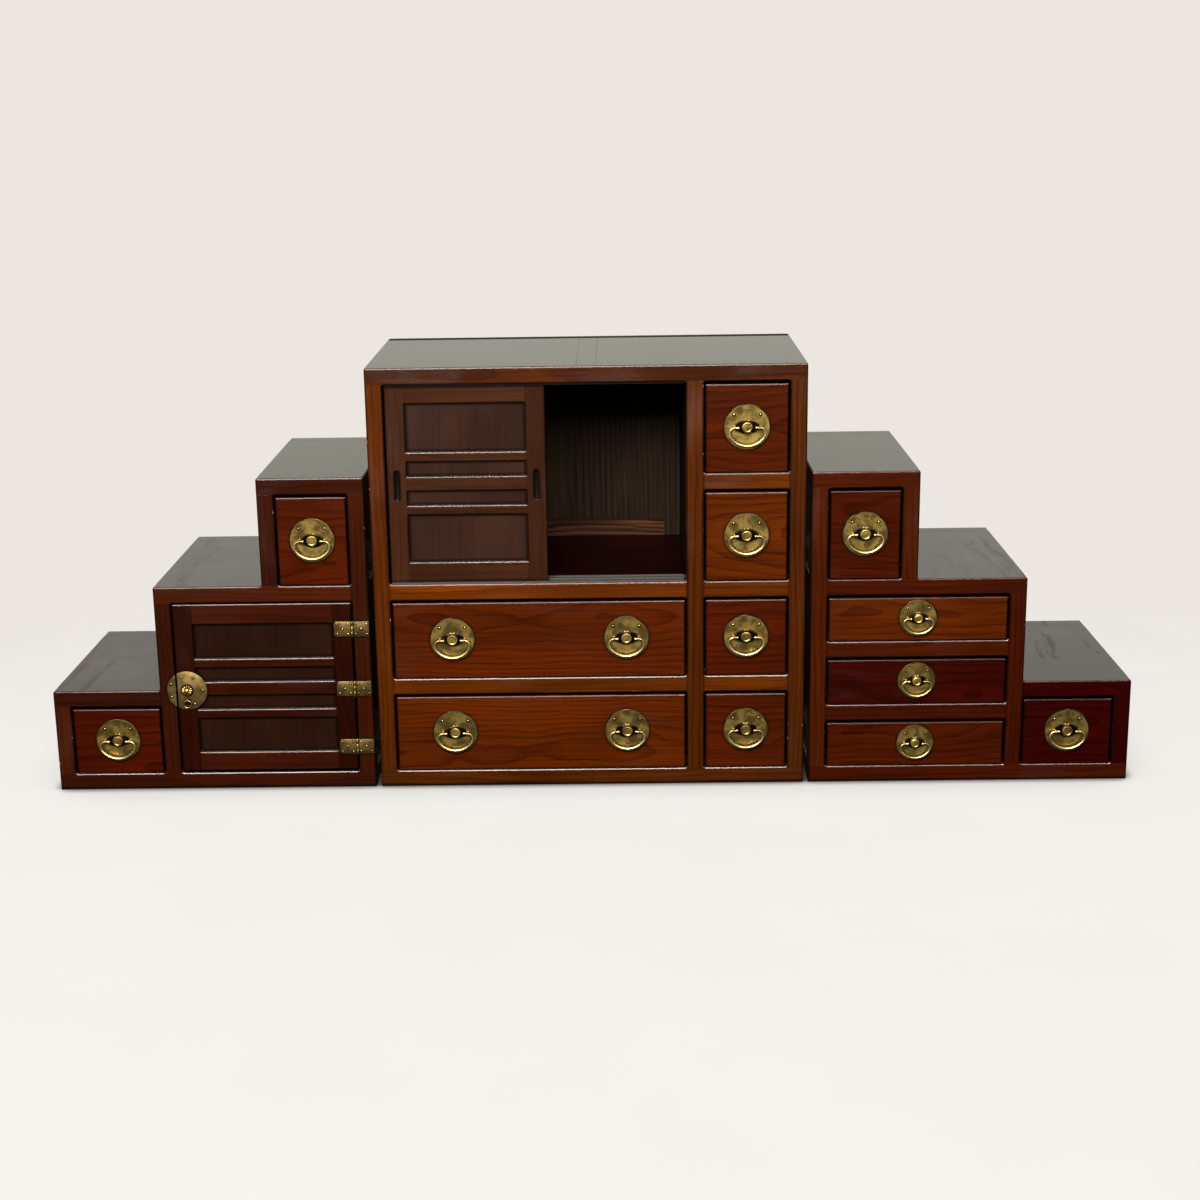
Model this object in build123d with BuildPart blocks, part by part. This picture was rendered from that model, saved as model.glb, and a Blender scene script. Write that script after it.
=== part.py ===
from build123d import *

import os
from math import atan2, degrees

os.makedirs("parts", exist_ok=True)

# A step chest in three lacquered cabinets that stand side by side: a tall centre cabinet
# and two stepped ones. X runs to the right along the front, Y to the back, Z up.
# The origin is on the floor, under the middle of the centre cabinet.

# Cabinets, in millimetres
CENTRE_WIDTH = 900.0
CENTRE_HEIGHT = 900.0
DEPTH = 450.0
TREAD_WIDTHS = (222.0, 228.0, 227.0)  # of a stepped cabinet, from its inner end outwards
TREAD_HEIGHTS = (675.0, 446.0, 220.0)  # the same treads' heights above the floor
CABINET_GAP = 11.0

# Frames and boards
MEMBER = 35.0  # face width and depth of posts and rails
MID_POST = 36.0
EDGE_ROUND = 3.0  # front edges of the frames
TOP_ROUND = 4.0  # long outer edges of the tops
CORNER_ROUND = 5.0  # corners of the openings, where the lacquer fills them
FRAME_ROUNDS = (EDGE_ROUND, CORNER_ROUND, TOP_ROUND)
GLUE_LINE = 0.1  # between members of one cabinet
SAW_SHARE = 0.05  # of a corner round that a post's saw cut takes off the rail
BOARD = 9.0
PANEL_INSET = 5.0  # from the frame's outer face to the panel
GUIDE_HEIGHT = 18.0
TOP_STRIP = 40.0  # loose strip between the two boards of the top

# Openings of the centre cabinet
COLUMN_OPENING = 176.0  # width of the column of narrow drawers
COLUMN_RAIL_TOPS = (35.0, 240.0, 446.0, 675.0, 900.0)
REAR_RAIL = 70.0  # behind the compartment floor, half of it stands above the floor

# Openings under the middle tread of the right cabinet
RIGHT_RAIL_TOPS = (35.0, 172.0, 311.0, 446.0)

# Drawers
DRAWER_INSET = 1.5  # of the drawer front behind the frame's face
DRAWER_FRONT = 18.0
DRAWER_SIDE = 10.0
DRAWER_BOTTOM = 5.0
DRAWER_ROUND = 2.5
SIDE_CLEARANCE = 3.5
TOP_CLEARANCE = 6.0
RUN_CLEARANCE = 0.5
DRAWER_REAR_ROOM = 12.0

# Framed doors
STILE = 40.0
THIN_BAR = 19.0
WIDE_BAR = 29.0
NARROW_PANEL = 32.0
DOOR_PANEL = 5.0
DOOR_PANEL_INSET = 6.0
DOOR_ROUND = 1.5
DOOR_CORNER = 1.6
DOOR_ROUNDS = (DOOR_ROUND, DOOR_CORNER, DOOR_CORNER)

# Sliding doors
SLIDER_WIDTH = 327.0
SLIDER_RAILS = (45.0, 38.0)  # bottom and top rail
SLIDER_THICKNESS = 18.0
SLIDER_INSET = 6.0  # of the front door behind the frame's face
TRACK_RIB = 2.8
TRACK_HEIGHT = 3.5
TRACK_CLEARANCE = 0.6
SILL_DEPTH = 55.0

# Finger pulls of the sliding doors
PULL_WIDTH = 14.0
PULL_HEIGHT = 66.0
PULL_LIP = 2.5
PULL_DEPTH = 6.0
PULL_SHEET = 0.8

# Hinged door
DOOR_THICKNESS = 20.0
DOOR_RAILS = (40.0, 43.0)  # bottom and top rail
DOOR_GAP = 3.0
SHEET = 1.5  # hinge leaves, lock plate and handle plates
LEAF_HEIGHT = 33.0
LEAF_WIDTH = 38.0
LEAF_CLIP = 4.0
LEAF_RIVETS = (9.5, 9.7)  # of the four outer rivets, across and up from the middle one
BARREL_RADIUS = 2.5
HINGE_PIN_RADIUS = 1.1
HINGE_PIN_ENDS = (2.0, 1.0)  # how far the pin stands out below and above the leaves
HINGE_BORE_RADIUS = 1.3
HINGE_DROPS = (56.0, 187.0, 316.0)  # of the hinges' middles below the top of the door
LOCK_RADIUS = 43.0
LOCK_OFFSET = 20.5  # from the door's free edge to the middle of the lock plate
LOCK_DROP = 4.0  # of the lock plate below the middle of the door
DOOR_LOCK_RIVETS = ((-12.0, 29.0), (15.0, 27.0), (33.0, 0.0), (15.0, -30.0))
KEEPER_RIVETS = ((-33.0, 14.0), (-33.0, -14.0))
ROSETTE_RADIUS = 13.0
ROSETTE_DOME = 5.5  # radius of the knob in the middle of the rosette
STAPLE_DROP = 21.0
STAPLE_RADIUS = 3.6
STAPLE_WIRE = 1.2
RING_RADIUS = 8.0
RING_WIRE = 1.4
RING_STANDOFF = 4.6

# Bail handle, at the size of the large plates
PLATE_RADIUS = 47.5
SMALL_PLATE_RADIUS = 40.0
FLANGE_RADIUS = 16.0
FLANGE_HEIGHT = 2.0
PETALS = 12
PETAL_SHARE = 0.24  # radius of a petal, as a share of its disc's radius
BOSS_RADIUS = 11.0
BOSS_HEIGHT = 5.5
BOSS_ROUND = 1.8
RIVET_RADIUS = 2.6
RIVET_HEIGHT = 1.6
RIVET_TAPER = 30.0  # degrees, of the sides of a rivet's head
RIVET_X = 27.0
RIVET_Z = 26.0
PIVOT_X = 25.5
PIVOT_STANDOFF = 8.5
EYE_RADIUS = 5.0
EYE_WIDTH = 4.0
EYE_BORE = 2.75
STEM_RADIUS = 2.4
BAIL_WIRE = 2.2
BAIL_HALF_WIDTH = 36.5
BAIL_DROP = 38.0
BAIL_CORNER = 11.0
BAIL_BOTTOM_RADIUS = 42.0
BAIL_END = 18.5
BAIL_KNOB = 3.0
BAIL_CLEARANCE = 0.5
WIDE_DRAWER_HANDLE = 182.5  # from the middle of a wide drawer to each handle

FRONT = -DEPTH / 2
REAR = DEPTH / 2
INSIDE_FRONT = FRONT + MEMBER
INSIDE_REAR = REAR - MEMBER
PANEL_DEPTH = PANEL_INSET + BOARD  # from a cabinet's outer face to its panel's inner face
HALF = CENTRE_WIDTH / 2
COLUMN_LEFT = HALF - MEMBER - COLUMN_OPENING
BAY_RIGHT = COLUMN_LEFT - MID_POST  # the right end of the wide drawers' openings
BAY_LEFT = MEMBER - HALF
LEDGE = COLUMN_RAIL_TOPS[2]  # compartment floor, level with the middle treads
HEAD = CENTRE_HEIGHT - MEMBER
STEP_ENDS = (TREAD_WIDTHS[0], sum(TREAD_WIDTHS[:2]), sum(TREAD_WIDTHS))


def outward(side, distance):
    """X of a point of a stepped cabinet, by its distance from the inner end."""
    return side * (HALF + CABINET_GAP + distance)


def block(x0, x1, y0, y1, z0, z1, mode=Mode.ADD):
    """A box between the given limits."""
    with Locations(((x0 + x1) / 2, (y0 + y1) / 2, (z0 + z1) / 2)):
        Box(abs(x1 - x0), abs(y1 - y0), abs(z1 - z0), mode=mode)


def fitted(x0, x1, y0, y1, z0, z1):
    """A box a glue line short of its limits on each side, so that it stays a piece of its own."""
    shy = GLUE_LINE / 2
    x0, x1 = sorted((x0, x1))
    block(x0 + shy, x1 - shy, y0 + shy, y1 - shy, z0 + shy, z1 - shy)


def side_rail(x_outer, x_inner, z0, z1):
    """A rail from the front frame to the rear frame, rounded along its outer face."""
    with BuildSketch(Plane.XZ.offset(GLUE_LINE - INSIDE_REAR)) as section:
        with Locations(((x_outer + x_inner) / 2, (z0 + z1) / 2)):
            Rectangle(MEMBER - GLUE_LINE, z1 - z0 - GLUE_LINE)
        outer = -1 if x_outer > x_inner else 0
        fillet(section.vertices().group_by(Axis.X)[outer], EDGE_ROUND)
    extrude(section.sketch, amount=INSIDE_REAR - INSIDE_FRONT - 2 * GLUE_LINE)


def face_frame(outline, openings, posts, y_face, y_back, rounds=FRAME_ROUNDS):
    """An upright frame of posts and rails: rounded along its face, then sawn at its joints."""
    edge_round, inner_round, outer_round = rounds
    y_low, y_high = sorted((y_face, y_back))
    with BuildPart() as frame:
        with BuildSketch(Plane.XZ.offset(-y_high)) as shape:
            Polygon(*outline, align=None)
            fillet(shape.vertices().filter_by(lambda corner: corner.Y > outer_round), outer_round)
            for x0, x1, z0, z1 in openings:
                with Locations(((x0 + x1) / 2, (z0 + z1) / 2)):
                    RectangleRounded(x1 - x0, z1 - z0, inner_round, mode=Mode.SUBTRACT)
        extrude(amount=y_high - y_low)
        face = frame.faces().sort_by(Axis.Y)[0 if y_face == y_low else -1]
        fillet(face.edges(), edge_round)
        shy = GLUE_LINE / 2
        clear = inner_round * SAW_SHARE
        for x0, x1, z0, z1 in posts:
            for left, right in ((x0 - clear, x0 + shy), (x1 - shy, x1 + clear)):
                block(left, right, y_low, y_high, z0 - shy, z1 + shy, mode=Mode.SUBTRACT)
            for z in (z0, z1):
                block(x0 - shy, x1 + shy, y_low, y_high, z - shy, z + shy, mode=Mode.SUBTRACT)
    return frame.part


def panels(places, y_face, thickness, corner):
    """Boards let into the openings of an upright frame, from y_face to the back."""
    for x0, x1, z0, z1 in places:
        with BuildSketch(Plane.XZ.offset(-y_face - thickness)) as board:
            with Locations(((x0 + x1) / 2, (z0 + z1) / 2)):
                RectangleRounded(x1 - x0 - GLUE_LINE, z1 - z0 - GLUE_LINE, corner)
        extrude(board.sketch, amount=thickness)


def save(piece, label):
    """Name a finished piece and write it."""
    piece.part.label = label
    export_step(piece.part, f"parts/{label}.step")


# ---------------------------------------------------------------- centre cabinet

centre_outline = ((-HALF, 0), (HALF, 0), (HALF, CENTRE_HEIGHT), (-HALF, CENTRE_HEIGHT))
wide_bays = [
    (BAY_LEFT, BAY_RIGHT, low, high - MEMBER)
    for low, high in zip(COLUMN_RAIL_TOPS[:2], COLUMN_RAIL_TOPS[1:3])
]
compartment_bay = (BAY_LEFT, BAY_RIGHT, LEDGE, HEAD)
column_bays = [
    (COLUMN_LEFT, HALF - MEMBER, low, high - MEMBER)
    for low, high in zip(COLUMN_RAIL_TOPS[:-1], COLUMN_RAIL_TOPS[1:])
]
centre_posts = [
    (-HALF, BAY_LEFT, MEMBER, HEAD),
    (BAY_RIGHT, COLUMN_LEFT, MEMBER, HEAD),
    (HALF - MEMBER, HALF, MEMBER, HEAD),
]
rear_stile = (BAY_RIGHT - MEMBER, BAY_RIGHT)
rear_bays = [
    (BAY_LEFT, rear_stile[0], MEMBER, LEDGE - MEMBER),
    (BAY_LEFT, rear_stile[0], LEDGE - MEMBER + REAR_RAIL, HEAD),
    (rear_stile[1], HALF - MEMBER, MEMBER, LEDGE - MEMBER),
    (rear_stile[1], HALF - MEMBER, LEDGE, HEAD),
]
rear_posts = [centre_posts[0], (*rear_stile, MEMBER, HEAD), centre_posts[2]]

front_lattice = face_frame(
    centre_outline, [*wide_bays, compartment_bay, *column_bays], centre_posts,
    FRONT, INSIDE_FRONT,
)
rear_lattice = face_frame(centre_outline, rear_bays, rear_posts, REAR, INSIDE_REAR)

with BuildPart() as centre_frame:
    add(front_lattice)
    add(rear_lattice)
    for side in (-1, 1):
        for rail_top in (MEMBER, LEDGE, CENTRE_HEIGHT):
            side_rail(side * HALF, side * (HALF - MEMBER), rail_top - MEMBER, rail_top)
    fitted(-TOP_STRIP / 2, TOP_STRIP / 2, FRONT + SILL_DEPTH, INSIDE_REAR, HEAD,
           CENTRE_HEIGHT - BOARD)
    block(-MEMBER / 2, MEMBER / 2, INSIDE_FRONT + GLUE_LINE, INSIDE_REAR - GLUE_LINE, 0,
          MEMBER - BOARD - GLUE_LINE)
save(centre_frame, "centre_frame")

with BuildPart() as centre_boards:
    top_edges = (BAY_LEFT, -TOP_STRIP / 2, TOP_STRIP / 2, HALF - MEMBER)
    for left, right in zip(top_edges[:-1], top_edges[1:]):
        fitted(left, right, INSIDE_FRONT, INSIDE_REAR, CENTRE_HEIGHT - BOARD, CENTRE_HEIGHT)
    for side in (-1, 1):
        for low, high in ((MEMBER, LEDGE - MEMBER), (LEDGE, HEAD)):
            fitted(side * (HALF - PANEL_INSET), side * (HALF - PANEL_DEPTH),
                   INSIDE_FRONT, INSIDE_REAR, low, high)
    fitted(BAY_LEFT, HALF - MEMBER, INSIDE_FRONT, INSIDE_REAR, MEMBER - BOARD, MEMBER)
    fitted(BAY_LEFT, BAY_RIGHT, FRONT + SILL_DEPTH, INSIDE_REAR, LEDGE - BOARD, LEDGE)
    panels(rear_bays, REAR - PANEL_DEPTH, BOARD, CORNER_ROUND)
save(centre_boards, "centre_boards")

with BuildPart() as centre_runners:
    for left, right in ((BAY_RIGHT, BAY_RIGHT + BOARD), (COLUMN_LEFT - BOARD, COLUMN_LEFT)):
        fitted(left, right, INSIDE_FRONT, INSIDE_REAR, MEMBER, HEAD)
    rail_top = COLUMN_RAIL_TOPS[1]
    fitted(PANEL_DEPTH - HALF, BAY_RIGHT, INSIDE_FRONT, INSIDE_REAR, rail_top - BOARD, rail_top)
    for rail_top in COLUMN_RAIL_TOPS[1:-1]:
        right = HALF - MEMBER if rail_top == LEDGE else HALF - PANEL_DEPTH
        fitted(COLUMN_LEFT, right, INSIDE_FRONT, INSIDE_REAR, rail_top - BOARD, rail_top)
    for rail_top in COLUMN_RAIL_TOPS[:2]:
        fitted(PANEL_DEPTH - HALF, BAY_LEFT, INSIDE_FRONT, INSIDE_REAR, rail_top,
               rail_top + GUIDE_HEIGHT)
    for rail_top in COLUMN_RAIL_TOPS[:-1]:
        fitted(HALF - MEMBER, HALF - PANEL_DEPTH, INSIDE_FRONT, INSIDE_REAR, rail_top,
               rail_top + GUIDE_HEIGHT)
save(centre_runners, "centre_runners")

# Sill, head strip and the ribs that keep the two sliding doors apart
rear_slider_y = FRONT + SLIDER_INSET + SLIDER_THICKNESS + TRACK_RIB + 2 * TRACK_CLEARANCE
slider_faces = (FRONT + SLIDER_INSET, rear_slider_y)
rib_backs = (
    slider_faces[0] - TRACK_CLEARANCE,
    slider_faces[1] - TRACK_CLEARANCE,
    rear_slider_y + SLIDER_THICKNESS + TRACK_CLEARANCE + TRACK_RIB,
)
with BuildPart() as centre_door_tracks:
    fitted(BAY_LEFT, BAY_RIGHT, INSIDE_FRONT, FRONT + SILL_DEPTH, LEDGE - BOARD, LEDGE)
    fitted(BAY_LEFT, BAY_RIGHT, INSIDE_FRONT, FRONT + SILL_DEPTH, HEAD,
           CENTRE_HEIGHT - BOARD)
    for back in rib_backs:
        for low in (LEDGE, HEAD - TRACK_HEIGHT):
            fitted(BAY_LEFT + CORNER_ROUND, BAY_RIGHT - CORNER_ROUND, back - TRACK_RIB, back, low,
                   low + TRACK_HEIGHT)
save(centre_door_tracks, "centre_door_tracks")

# ---------------------------------------------------------------- stepped cabinets

tread_3, tread_2, tread_1 = TREAD_HEIGHTS
step_3, step_2, step_1 = STEP_ENDS


def stepped_outline(side):
    """The stepped front of a cabinet, from the floor at its inner end round to the top."""
    corners = (
        (0, 0), (step_1, 0), (step_1, tread_1), (step_2, tread_1), (step_2, tread_2),
        (step_3, tread_2), (step_3, tread_3), (0, tread_3),
    )
    return [(outward(side, distance), height) for distance, height in corners]


def bay(side, near, far, low, high):
    """An opening of a stepped cabinet, as left, right, low and high."""
    return (*sorted((outward(side, near), outward(side, far))), low, high)


def upper_bay(side):
    return bay(side, MEMBER, step_3 - MEMBER, tread_2, tread_3 - MEMBER)


def middle_bay(side, low=MEMBER, high=tread_2 - MEMBER):
    return bay(side, MEMBER, step_2 - MEMBER, low, high)


def step_bay(side):
    return bay(side, step_2, step_1 - MEMBER, MEMBER, tread_1 - MEMBER)


right_wide_bays = [
    middle_bay(1, low, high - MEMBER)
    for low, high in zip(RIGHT_RAIL_TOPS[:-1], RIGHT_RAIL_TOPS[1:])
]
stepped_cabinets = (
    ("left", -1, [middle_bay(-1)], ()),
    ("right", 1, right_wide_bays, RIGHT_RAIL_TOPS[1:-1]),
)

for name, side, middle_bays, dust_levels in stepped_cabinets:
    outline = stepped_outline(side)
    posts = [
        bay(side, 0, MEMBER, MEMBER, tread_3 - MEMBER),
        bay(side, step_3 - MEMBER, step_3, tread_2, tread_3 - MEMBER),
        bay(side, step_2 - MEMBER, step_2, MEMBER, tread_2 - MEMBER),
        bay(side, step_1 - MEMBER, step_1, MEMBER, tread_1 - MEMBER),
    ]
    backs = [upper_bay(side), middle_bay(side), step_bay(side)]
    front_lattice = face_frame(
        outline, [upper_bay(side), *middle_bays, step_bay(side)], posts, FRONT, INSIDE_FRONT
    )
    rear_lattice = face_frame(outline, backs, posts, REAR, INSIDE_REAR)

    with BuildPart() as frame:
        add(front_lattice)
        add(rear_lattice)
        for rail_top in (MEMBER, tread_2, tread_3):
            side_rail(outward(side, 0), outward(side, MEMBER), rail_top - MEMBER, rail_top)
        for end, rail_top in zip((step_3, step_2, step_1, step_1), (*TREAD_HEIGHTS, MEMBER)):
            side_rail(outward(side, end), outward(side, end - MEMBER), rail_top - MEMBER,
                      rail_top)
        middle = step_1 / 2
        block(outward(side, middle - MEMBER / 2), outward(side, middle + MEMBER / 2),
              INSIDE_FRONT + GLUE_LINE, INSIDE_REAR - GLUE_LINE, 0,
              MEMBER - BOARD - GLUE_LINE)
    save(frame, f"{name}_frame")

    with BuildPart() as boards:
        treads = (
            (MEMBER, step_3 - MEMBER, tread_3),
            (step_3, step_2 - MEMBER, tread_2),
            (step_2, step_1 - MEMBER, tread_1),
        )
        for near, far, height in treads:
            fitted(outward(side, near), outward(side, far), INSIDE_FRONT, INSIDE_REAR,
                   height - BOARD, height)
        inner_panel = (PANEL_INSET, PANEL_DEPTH)
        risers = (
            (*inner_panel, MEMBER, tread_2 - MEMBER),
            (*inner_panel, tread_2, tread_3 - MEMBER),
            (step_3 - PANEL_DEPTH, step_3 - PANEL_INSET, tread_2, tread_3 - MEMBER),
            (step_2 - PANEL_DEPTH, step_2 - PANEL_INSET, tread_1, tread_2 - MEMBER),
            (step_1 - PANEL_DEPTH, step_1 - PANEL_INSET, MEMBER, tread_1 - MEMBER),
        )
        for near, far, low, high in risers:
            fitted(outward(side, near), outward(side, far), INSIDE_FRONT, INSIDE_REAR, low,
                   high)
        fitted(outward(side, MEMBER), outward(side, step_1 - MEMBER), INSIDE_FRONT,
               INSIDE_REAR, MEMBER - BOARD, MEMBER)
        panels(backs, REAR - PANEL_DEPTH, BOARD, CORNER_ROUND)
    save(boards, f"{name}_boards")

    with BuildPart() as runners:
        fitted(outward(side, MEMBER), outward(side, step_3), INSIDE_FRONT, INSIDE_REAR,
               tread_2 - BOARD, tread_2)
        for near, far, high in (
            (step_2 - MEMBER, step_2 - MEMBER + BOARD, tread_2 - MEMBER),
            (step_2 - BOARD, step_2, tread_1 - BOARD),
        ):
            fitted(outward(side, near), outward(side, far), INSIDE_FRONT, INSIDE_REAR, MEMBER,
                   high)
        for level in dust_levels:
            fitted(outward(side, PANEL_DEPTH), outward(side, step_2 - MEMBER), INSIDE_FRONT,
                   INSIDE_REAR, level - BOARD, level)
        guides = [
            (PANEL_DEPTH, MEMBER, tread_2),
            (step_3 - MEMBER, step_3 - PANEL_DEPTH, tread_2),
            (step_1 - MEMBER, step_1 - PANEL_DEPTH, MEMBER),
        ]
        if dust_levels:
            guides += [(PANEL_DEPTH, MEMBER, level) for level in (MEMBER, *dust_levels)]
        for near, far, low in guides:
            fitted(outward(side, near), outward(side, far), INSIDE_FRONT, INSIDE_REAR, low,
                   low + GUIDE_HEIGHT)
    save(runners, f"{name}_runners")

# ---------------------------------------------------------------- framed doors


def door_openings(x0, x1, z0, z1, low_rail, top_rail):
    """The four panels' places: two tall ones above and below three bars."""
    inner = z1 - z0 - low_rail - top_rail
    tall = (inner - 2 * THIN_BAR - WIDE_BAR - 2 * NARROW_PANEL) / 2
    places, low = [], z0 + low_rail
    for height, bar in zip(
        (tall, NARROW_PANEL, NARROW_PANEL, tall), (THIN_BAR, WIDE_BAR, THIN_BAR, 0)
    ):
        places.append((x0 + STILE, x1 - STILE, low, low + height))
        low += height + bar
    return places


def framed_door(x0, x1, z0, z1, y_face, thickness, rails):
    """The stiles, rails and bars of a door, and the places of its panels."""
    places = door_openings(x0, x1, z0, z1, *rails)
    outline = ((x0, z0), (x1, z0), (x1, z1), (x0, z1))
    stiles = [
        (left, left + STILE, z0 - GLUE_LINE, z1 + GLUE_LINE) for left in (x0, x1 - STILE)
    ]
    lattice = face_frame(outline, places, stiles, y_face, y_face + thickness, DOOR_ROUNDS)
    return lattice, places


# Sliding doors: both stand at the left end of their tracks, one behind the other
slider_low = LEDGE + TRACK_CLEARANCE
slider_high = HEAD - 2 * TRACK_CLEARANCE
slider_left = BAY_LEFT + DOOR_GAP
slider_right = slider_left + SLIDER_WIDTH
slider_middle = (slider_low + slider_high) / 2
pull_places = [(slider_left + STILE / 2, slider_middle), (slider_right - STILE / 2, slider_middle)]

for name, y_face in zip(("front", "rear"), slider_faces):
    lattice, places = framed_door(slider_left, slider_right, slider_low, slider_high, y_face,
                                  SLIDER_THICKNESS, SLIDER_RAILS)
    cup_width = PULL_WIDTH - 2 * PULL_LIP
    cup_height = PULL_HEIGHT - 2 * PULL_LIP

    with BuildPart() as sliding_door:
        add(lattice)
        panels(places, y_face + DOOR_PANEL_INSET, DOOR_PANEL, DOOR_CORNER)
        with BuildSketch(Plane.XZ.offset(-y_face)):
            with Locations(*pull_places):
                SlotOverall(cup_height + 2 * GLUE_LINE, cup_width + 2 * GLUE_LINE, rotation=90)
        extrude(amount=-PULL_DEPTH - GLUE_LINE, mode=Mode.SUBTRACT)
    save(sliding_door, f"sliding_door_{name}")

    with BuildPart() as finger_pulls:
        with BuildSketch(Plane.XZ.offset(-y_face + GLUE_LINE)):
            with Locations(*pull_places):
                SlotOverall(PULL_HEIGHT, PULL_WIDTH, rotation=90)
        extrude(amount=PULL_SHEET)
        with BuildSketch(Plane.XZ.offset(-y_face + GLUE_LINE)):
            with Locations(*pull_places):
                SlotOverall(cup_height, cup_width, rotation=90)
        extrude(amount=-PULL_DEPTH - GLUE_LINE)
        with BuildSketch(Plane.XZ.offset(-y_face + GLUE_LINE + PULL_SHEET)):
            with Locations(*pull_places):
                SlotOverall(cup_height - 2 * PULL_SHEET, cup_width - 2 * PULL_SHEET, rotation=90)
        extrude(amount=-PULL_DEPTH - GLUE_LINE, mode=Mode.SUBTRACT)
    save(finger_pulls, f"finger_pulls_{name}")

# Hinged door of the left cabinet. Its hinges stand at the inner end, next to the centre cabinet.
cupboard = middle_bay(-1)
door_left = cupboard[0] + DOOR_GAP
door_right = cupboard[1] - DOOR_GAP
door_low = cupboard[2] + DOOR_GAP * 2
door_high = cupboard[3] - DOOR_GAP
barrel_x = cupboard[1] - DOOR_GAP / 2
barrel_y = FRONT - BARREL_RADIUS - GLUE_LINE
hinge_heights = [door_high - drop for drop in HINGE_DROPS]
lock_x = door_left + LOCK_OFFSET
lock_z = (door_low + door_high) / 2 - LOCK_DROP
staple_z = lock_z - STAPLE_DROP
ring_y = FRONT - SHEET - RING_STANDOFF

lattice, places = framed_door(door_left, door_right, door_low, door_high, FRONT,
                              DOOR_THICKNESS, DOOR_RAILS)
with BuildPart() as hinged_door:
    add(lattice)
    panels(places, FRONT + DOOR_PANEL_INSET, DOOR_PANEL, DOOR_CORNER)
save(hinged_door, "hinged_door")


def on_face(x, y, z):
    """A plane against an upright face at y, looking out to the front."""
    return Plane(origin=(x, y, z), x_dir=(1, 0, 0), z_dir=(0, -1, 0))


def rivets(plane, places, radius=RIVET_RADIUS, height=RIVET_HEIGHT):
    """Domed rivet heads, a glue line clear of the sheet under them."""
    with BuildSketch(plane.offset(GLUE_LINE)) as heads:
        with Locations(*places):
            Circle(radius)
    extrude(heads.sketch, amount=height, taper=RIVET_TAPER)


def rosette(plane, radius, height):
    """A scalloped disc of round petals."""
    petal = radius * PETAL_SHARE
    with BuildSketch(plane.offset(GLUE_LINE)) as petals:
        Circle(radius - petal)
        with PolarLocations(radius - petal, PETALS):
            Circle(petal)
    extrude(petals.sketch, amount=height)


def knuckle(z_low, z_high, reach):
    """A length of hinge barrel, with the tab that joins it to its leaf on the side of reach."""
    with BuildSketch(Plane.XY.offset(z_low)) as section:
        with Locations((barrel_x, barrel_y)):
            Circle(BARREL_RADIUS)
        with Locations((barrel_x + reach / 2, FRONT - GLUE_LINE - SHEET / 2)):
            Rectangle(abs(reach), SHEET)
        with Locations((barrel_x, barrel_y)):
            Circle(HINGE_BORE_RADIUS, mode=Mode.SUBTRACT)
    extrude(section.sketch, amount=z_high - z_low)


def hinge_leaf(z_middle, direction):
    """The flat of a hinge leaf, on the face of the door (-1) or of the post (1)."""
    start = barrel_x + direction * (BARREL_RADIUS + 2 * GLUE_LINE)
    end = barrel_x + direction * (LEAF_WIDTH if direction < 0 else MEMBER)
    with BuildSketch(on_face(0, FRONT - GLUE_LINE, z_middle)) as flat:
        with Locations(((start + end) / 2, 0)):
            Rectangle(abs(end - start), LEAF_HEIGHT)
        if direction < 0:
            chamfer(flat.vertices().group_by(Axis.X)[0], LEAF_CLIP)
    extrude(flat.sketch, amount=SHEET)


def leaf_rivets(z_middle, direction):
    """Five rivets in a quincunx on a hinge leaf."""
    middle = barrel_x + direction * LEAF_WIDTH / 2
    across, up = LEAF_RIVETS
    places = [(middle, 0), *((middle + a * across, b * up) for a in (-1, 1) for b in (-1, 1))]
    rivets(on_face(0, FRONT - GLUE_LINE - SHEET, z_middle), places)


def lock_half(x_from, x_to, rivet_places):
    """The part of the round lock plate between two upright lines, with its rivets."""
    with BuildSketch(on_face(0, FRONT - GLUE_LINE, 0)) as segment:
        with Locations((lock_x, lock_z)):
            Circle(LOCK_RADIUS)
        with Locations(((x_from + x_to) / 2, lock_z)):
            Rectangle(x_to - x_from, 3 * LOCK_RADIUS, mode=Mode.INTERSECT)
    extrude(segment.sketch, amount=SHEET)
    rivets(on_face(lock_x, FRONT - GLUE_LINE - SHEET, lock_z), rivet_places)


third = LEAF_HEIGHT / 3
knuckle_reach = BARREL_RADIUS + 3 * GLUE_LINE
with BuildPart() as hinged_door_brass:
    for z_middle in hinge_heights:
        hinge_leaf(z_middle, -1)
        knuckle(z_middle - third / 2, z_middle + third / 2, -knuckle_reach)
        leaf_rivets(z_middle, -1)
    lock_half(door_left + GLUE_LINE, lock_x + LOCK_RADIUS + 1,
              DOOR_LOCK_RIVETS)
    rosette(on_face(lock_x, FRONT - SHEET - GLUE_LINE, lock_z), ROSETTE_RADIUS, FLANGE_HEIGHT)
    dome_y = FRONT - SHEET - 3 * GLUE_LINE - FLANGE_HEIGHT
    with BuildSketch(on_face(lock_x, dome_y, lock_z)):
        Circle(ROSETTE_DOME)
    extrude(amount=BOSS_HEIGHT)
    fillet(edges(Select.LAST).group_by(Axis.Y)[0], BOSS_ROUND)
    with BuildSketch(Plane.YZ.offset(lock_x)):
        with Locations((ring_y, staple_z)):
            Circle(STAPLE_RADIUS + STAPLE_WIRE)
            Circle(STAPLE_RADIUS - STAPLE_WIRE, mode=Mode.SUBTRACT)
    extrude(amount=STAPLE_WIRE, both=True)
save(hinged_door_brass, "hinged_door_brass")

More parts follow.
